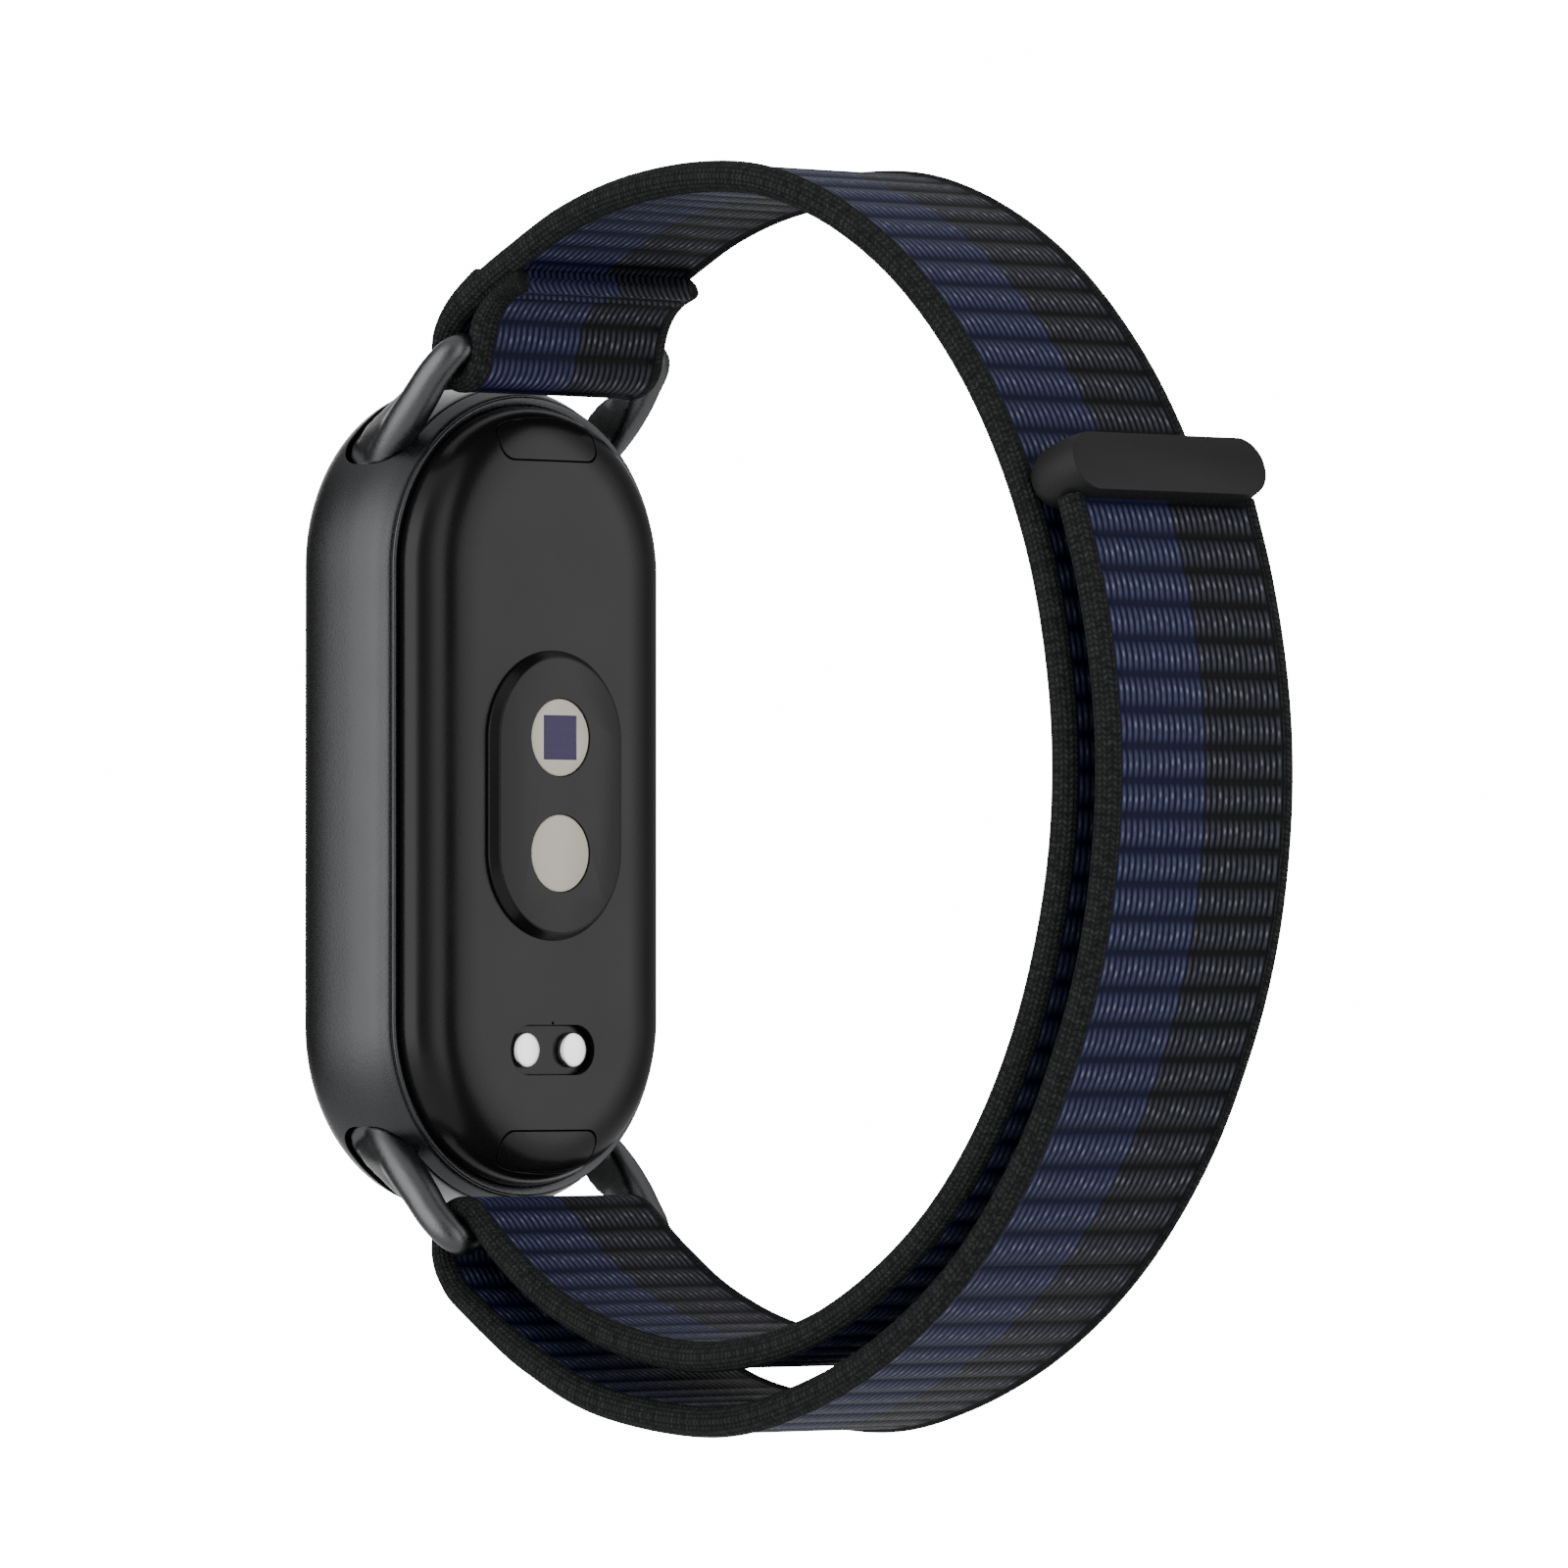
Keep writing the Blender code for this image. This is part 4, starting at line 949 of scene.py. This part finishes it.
def dress_inner_nodes():
    steel = satin_metal("bright_steel", (0.55, 0.55, 0.56), 0.25)
    board = board_mask()
    rubber = moulded("seal_rubber", (0.012, 0.012, 0.012), 0.7)
    screen = moulded("display_film", (0.01, 0.01, 0.014), 0.15)
    looks = {"display_flex": moulded("flex_film", (0.3, 0.12, 0.025), 0.35),
             "chassis": moulded("chassis_polymer", (0.05, 0.05, 0.052), 0.6),
             "battery": foil(), "main_board": board, "sensor_board": board,
             "front_seal": rubber, "rear_seal": rubber, "display_panel": screen,
             "green_led": chip("green_chip", (0.2, 0.45, 0.18), (0.5, 0.6, 0.4)),
             "red_led": chip("red_chip", (0.45, 0.1, 0.08), (0.6, 0.4, 0.3))}
    for name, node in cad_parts.items():
        if node.hide_render:
            continue
        mat = looks.get(name, steel)
        for slot in node.material_slots:
            slot.material = mat


# ---------------------------------------------------------------- stage

def make_floor():
    """A plain pale floor: white to the camera, and near the object a soft light from below."""
    size, level = 8.0, -0.12
    mesh = bpy.data.meshes.new("floor")
    mesh.from_pydata([(-size, -size, level), (size, -size, level), (size, size, level),
                      (-size, size, level)], [], [(0, 1, 2, 3)])
    paint = Paint("pale_floor", (0.4, 0.4, 0.4), roughness=0.9)
    seen = paint.node("ShaderNodeLightPath").outputs["Is Camera Ray"]
    place = paint.node("ShaderNodeTexCoord").outputs["Object"]
    away = paint.node("ShaderNodeVectorMath", {0: place}, operation="LENGTH").outputs["Value"]
    paint.shader.inputs["Emission Color"].default_value = (1.0, 1.0, 1.0, 1.0)
    paint.to("Emission Strength", paint.range(seen, 0.5, WHITE))
    paint.to("Alpha", paint.math("MAXIMUM", seen, paint.range(away, 1.0, 0.0, 0.18, 0.5)))
    mesh.materials.append(paint.material)
    floor = bpy.data.objects.new("floor", mesh)
    bpy.context.scene.collection.objects.link(floor)


# Brightness of the studio round the object, by compass angle from +Y towards +X, in degrees
STUDIO = [(-180, 0.03), (-160, 0.04), (-150, 0.1), (-140, 0.16), (-128, 0.14), (-118, 0.08),
          (-70, 0.08), (-56, 0.3), (-46, 0.88), (-30, 0.68), (-13, 0.42), (-3, 0.48), (11, 0.78),
          (22, 0.52), (35, 0.2), (50, 0.1), (66, 0.11), (78, 0.5), (90, 1.05), (105, 1.05),
          (120, 0.9), (130, 0.95), (138, 0.72), (145, 0.14), (152, 0.03), (180, 0.03)]
STUDIO_LEVEL = 3.6
STUDIO_TOP = 0.26           # brightness overhead, fading in between these heights
STUDIO_TOP_RISE = (0.35, 0.85)
BACK_PANEL = 1.8
BACK_PANEL_FACING = (-0.5, -0.866, 0.0)
BACK_PANEL_ROUND, BACK_PANEL_RISE = (0.88, 0.97), (0.05, 0.2)   # where each mask fades in
WHITE = 16.0                # bright enough to be shown as pure white


def make_back_panels(node, link, direction, rise, light):
    """Two small bright panels behind the object, above and below the level of the camera."""
    behind = node("ShaderNodeVectorMath", operation="DOT_PRODUCT")
    behind.inputs[1].default_value = BACK_PANEL_FACING
    link(direction, behind.inputs[0])
    height = node("ShaderNodeMath", operation="ABSOLUTE")
    link(rise, height.inputs[0])
    masks = []
    for value, (start, end) in ((behind.outputs["Value"], BACK_PANEL_ROUND),
                                (height.outputs[0], BACK_PANEL_RISE)):
        mask = node("ShaderNodeMapRange", interpolation_type="SMOOTHSTEP")
        mask.inputs[1].default_value, mask.inputs[2].default_value = start, end
        link(value, mask.inputs[0])
        masks.append(mask.outputs[0])
    both = node("ShaderNodeMath", operation="MULTIPLY")
    link(masks[0], both.inputs[0])
    link(masks[1], both.inputs[1])
    mixed = node("ShaderNodeMix", data_type="RGBA")
    mixed.inputs[7].default_value = (BACK_PANEL, BACK_PANEL, BACK_PANEL, 1.0)
    link(both.outputs[0], mixed.inputs[0])
    link(light, mixed.inputs[6])
    return mixed.outputs[2]


def make_world():
    """A soft studio: broad pale panels with darker gaps between them; white to the camera."""
    world = bpy.data.worlds.new("studio")
    bpy.context.scene.world = world
    world.use_nodes = True
    tree = world.node_tree
    back = tree.nodes["Background"]
    link = tree.links.new

    def node(kind, **settings):
        made = tree.nodes.new(kind)
        for key, value in settings.items():
            setattr(made, key, value)
        return made

    place = node("ShaderNodeTexCoord")
    split = node("ShaderNodeSeparateXYZ")
    link(place.outputs["Generated"], split.inputs[0])
    compass = node("ShaderNodeMath", operation="ARCTAN2")
    link(split.outputs[0], compass.inputs[0])
    link(split.outputs[1], compass.inputs[1])
    scaled = node("ShaderNodeMapRange")
    scaled.inputs[1].default_value, scaled.inputs[2].default_value = -math.pi, math.pi
    link(compass.outputs[0], scaled.inputs[0])
    ramp = node("ShaderNodeValToRGB")
    ramp.color_ramp.interpolation = "EASE"
    elements = ramp.color_ramp.elements
    brightest = max(value for _, value in STUDIO)
    for i, (angle, value) in enumerate(STUDIO):
        at = (angle + 180) / 360
        element = elements[i] if i < len(elements) and i < 2 else elements.new(at)
        element.position = at
        element.color = (value / brightest,) * 3 + (1.0,)
    link(scaled.outputs[0], ramp.inputs[0])
    height = node("ShaderNodeMapRange", interpolation_type="SMOOTHSTEP")
    height.inputs[1].default_value, height.inputs[2].default_value = STUDIO_TOP_RISE
    link(split.outputs[2], height.inputs[0])
    top = node("ShaderNodeMix", data_type="RGBA")
    top.inputs[7].default_value = (STUDIO_TOP,) * 3 + (1.0,)
    link(height.outputs[0], top.inputs[0])
    link(ramp.outputs[0], top.inputs[6])
    scale = node("ShaderNodeMix", data_type="RGBA", blend_type="MULTIPLY")
    scale.inputs[0].default_value = 1.0
    scale.inputs[7].default_value = (brightest * STUDIO_LEVEL,) * 3 + (1.0,)
    link(top.outputs[2], scale.inputs[6])
    path = node("ShaderNodeLightPath")
    seen = node("ShaderNodeMix", data_type="RGBA")
    seen.inputs[7].default_value = (WHITE, WHITE, WHITE, 1.0)
    link(path.outputs["Is Camera Ray"], seen.inputs[0])
    panels = make_back_panels(node, link, place.outputs["Generated"], split.outputs[2],
                              scale.outputs[2])
    link(panels, seen.inputs[6])
    link(seen.outputs[2], back.inputs["Color"])


def make_lights():
    """Soft fill that shapes the fabric; it isn't seen in the polished surfaces."""
    target = Vector((0.0, 0.0, 0.0))
    for name, at, size, power in (("front_fill", (0.45, 0.8, 0.1), 0.5, 3.6),
                                  ("side_fill", (0.9, -0.1, 0.0), 0.6, 3.0),
                                  ("top_fill", (-0.2, 0.1, 0.9), 0.7, 0.4)):
        light = bpy.data.lights.new(name, "AREA")
        light.size = size
        light.energy = power
        obj = bpy.data.objects.new(name, light)
        obj.location = at
        obj.rotation_euler = (target - Vector(at)).to_track_quat("-Z", "Y").to_euler()
        obj.visible_glossy = False
        bpy.context.scene.collection.objects.link(obj)


def make_camera():
    camera = bpy.data.cameras.new("camera")
    camera.sensor_width = 36.0
    camera.lens = CAMERA_LENS
    camera.clip_end = 50.0
    obj = bpy.data.objects.new("camera", camera)
    obj.location = CAMERA_AT
    toward = Vector((math.sin(CAMERA_TURN) * math.cos(CAMERA_LIFT),
                     math.cos(CAMERA_TURN) * math.cos(CAMERA_LIFT), math.sin(CAMERA_LIFT)))
    obj.rotation_euler = (-toward).to_track_quat("-Z", "Y").to_euler()
    bpy.context.scene.collection.objects.link(obj)
    bpy.context.scene.camera = obj


# ---------------------------------------------------------------- build

def build():
    make_camera()
    make_floor()
    make_world()
    make_lights()
    case_metal = satin_metal("satin_grey_aluminium", (0.052, 0.053, 0.0555), 0.3)
    bail_metal = satin_metal("connector_metal", (0.088, 0.09, 0.093), 0.32)
    polymer = moulded("cover_polymer", (0.0034, 0.0034, 0.0034), 0.23, specular_ior_level=0.21)
    tab_polymer = moulded("tab_polymer", (0.0066, 0.0066, 0.0066), 0.5, grain=0.008,
                          specular_ior_level=0.16)
    hooks = moulded("hook_polymer", (0.012, 0.012, 0.013), 0.6)
    make_case(case_metal)
    make_cover(polymer)
    make_buttons(polymer)
    make_front(front_lens())
    make_sensor(polymer, window_polymer())
    make_photodiode()
    make_contacts(polymer, plated())
    make_connectors(bail_metal)
    make_strap(webbing(), knitted_edge())
    make_tab(tab_polymer)
    make_hook_pad(hooks)
    dress_inner_nodes()


build()
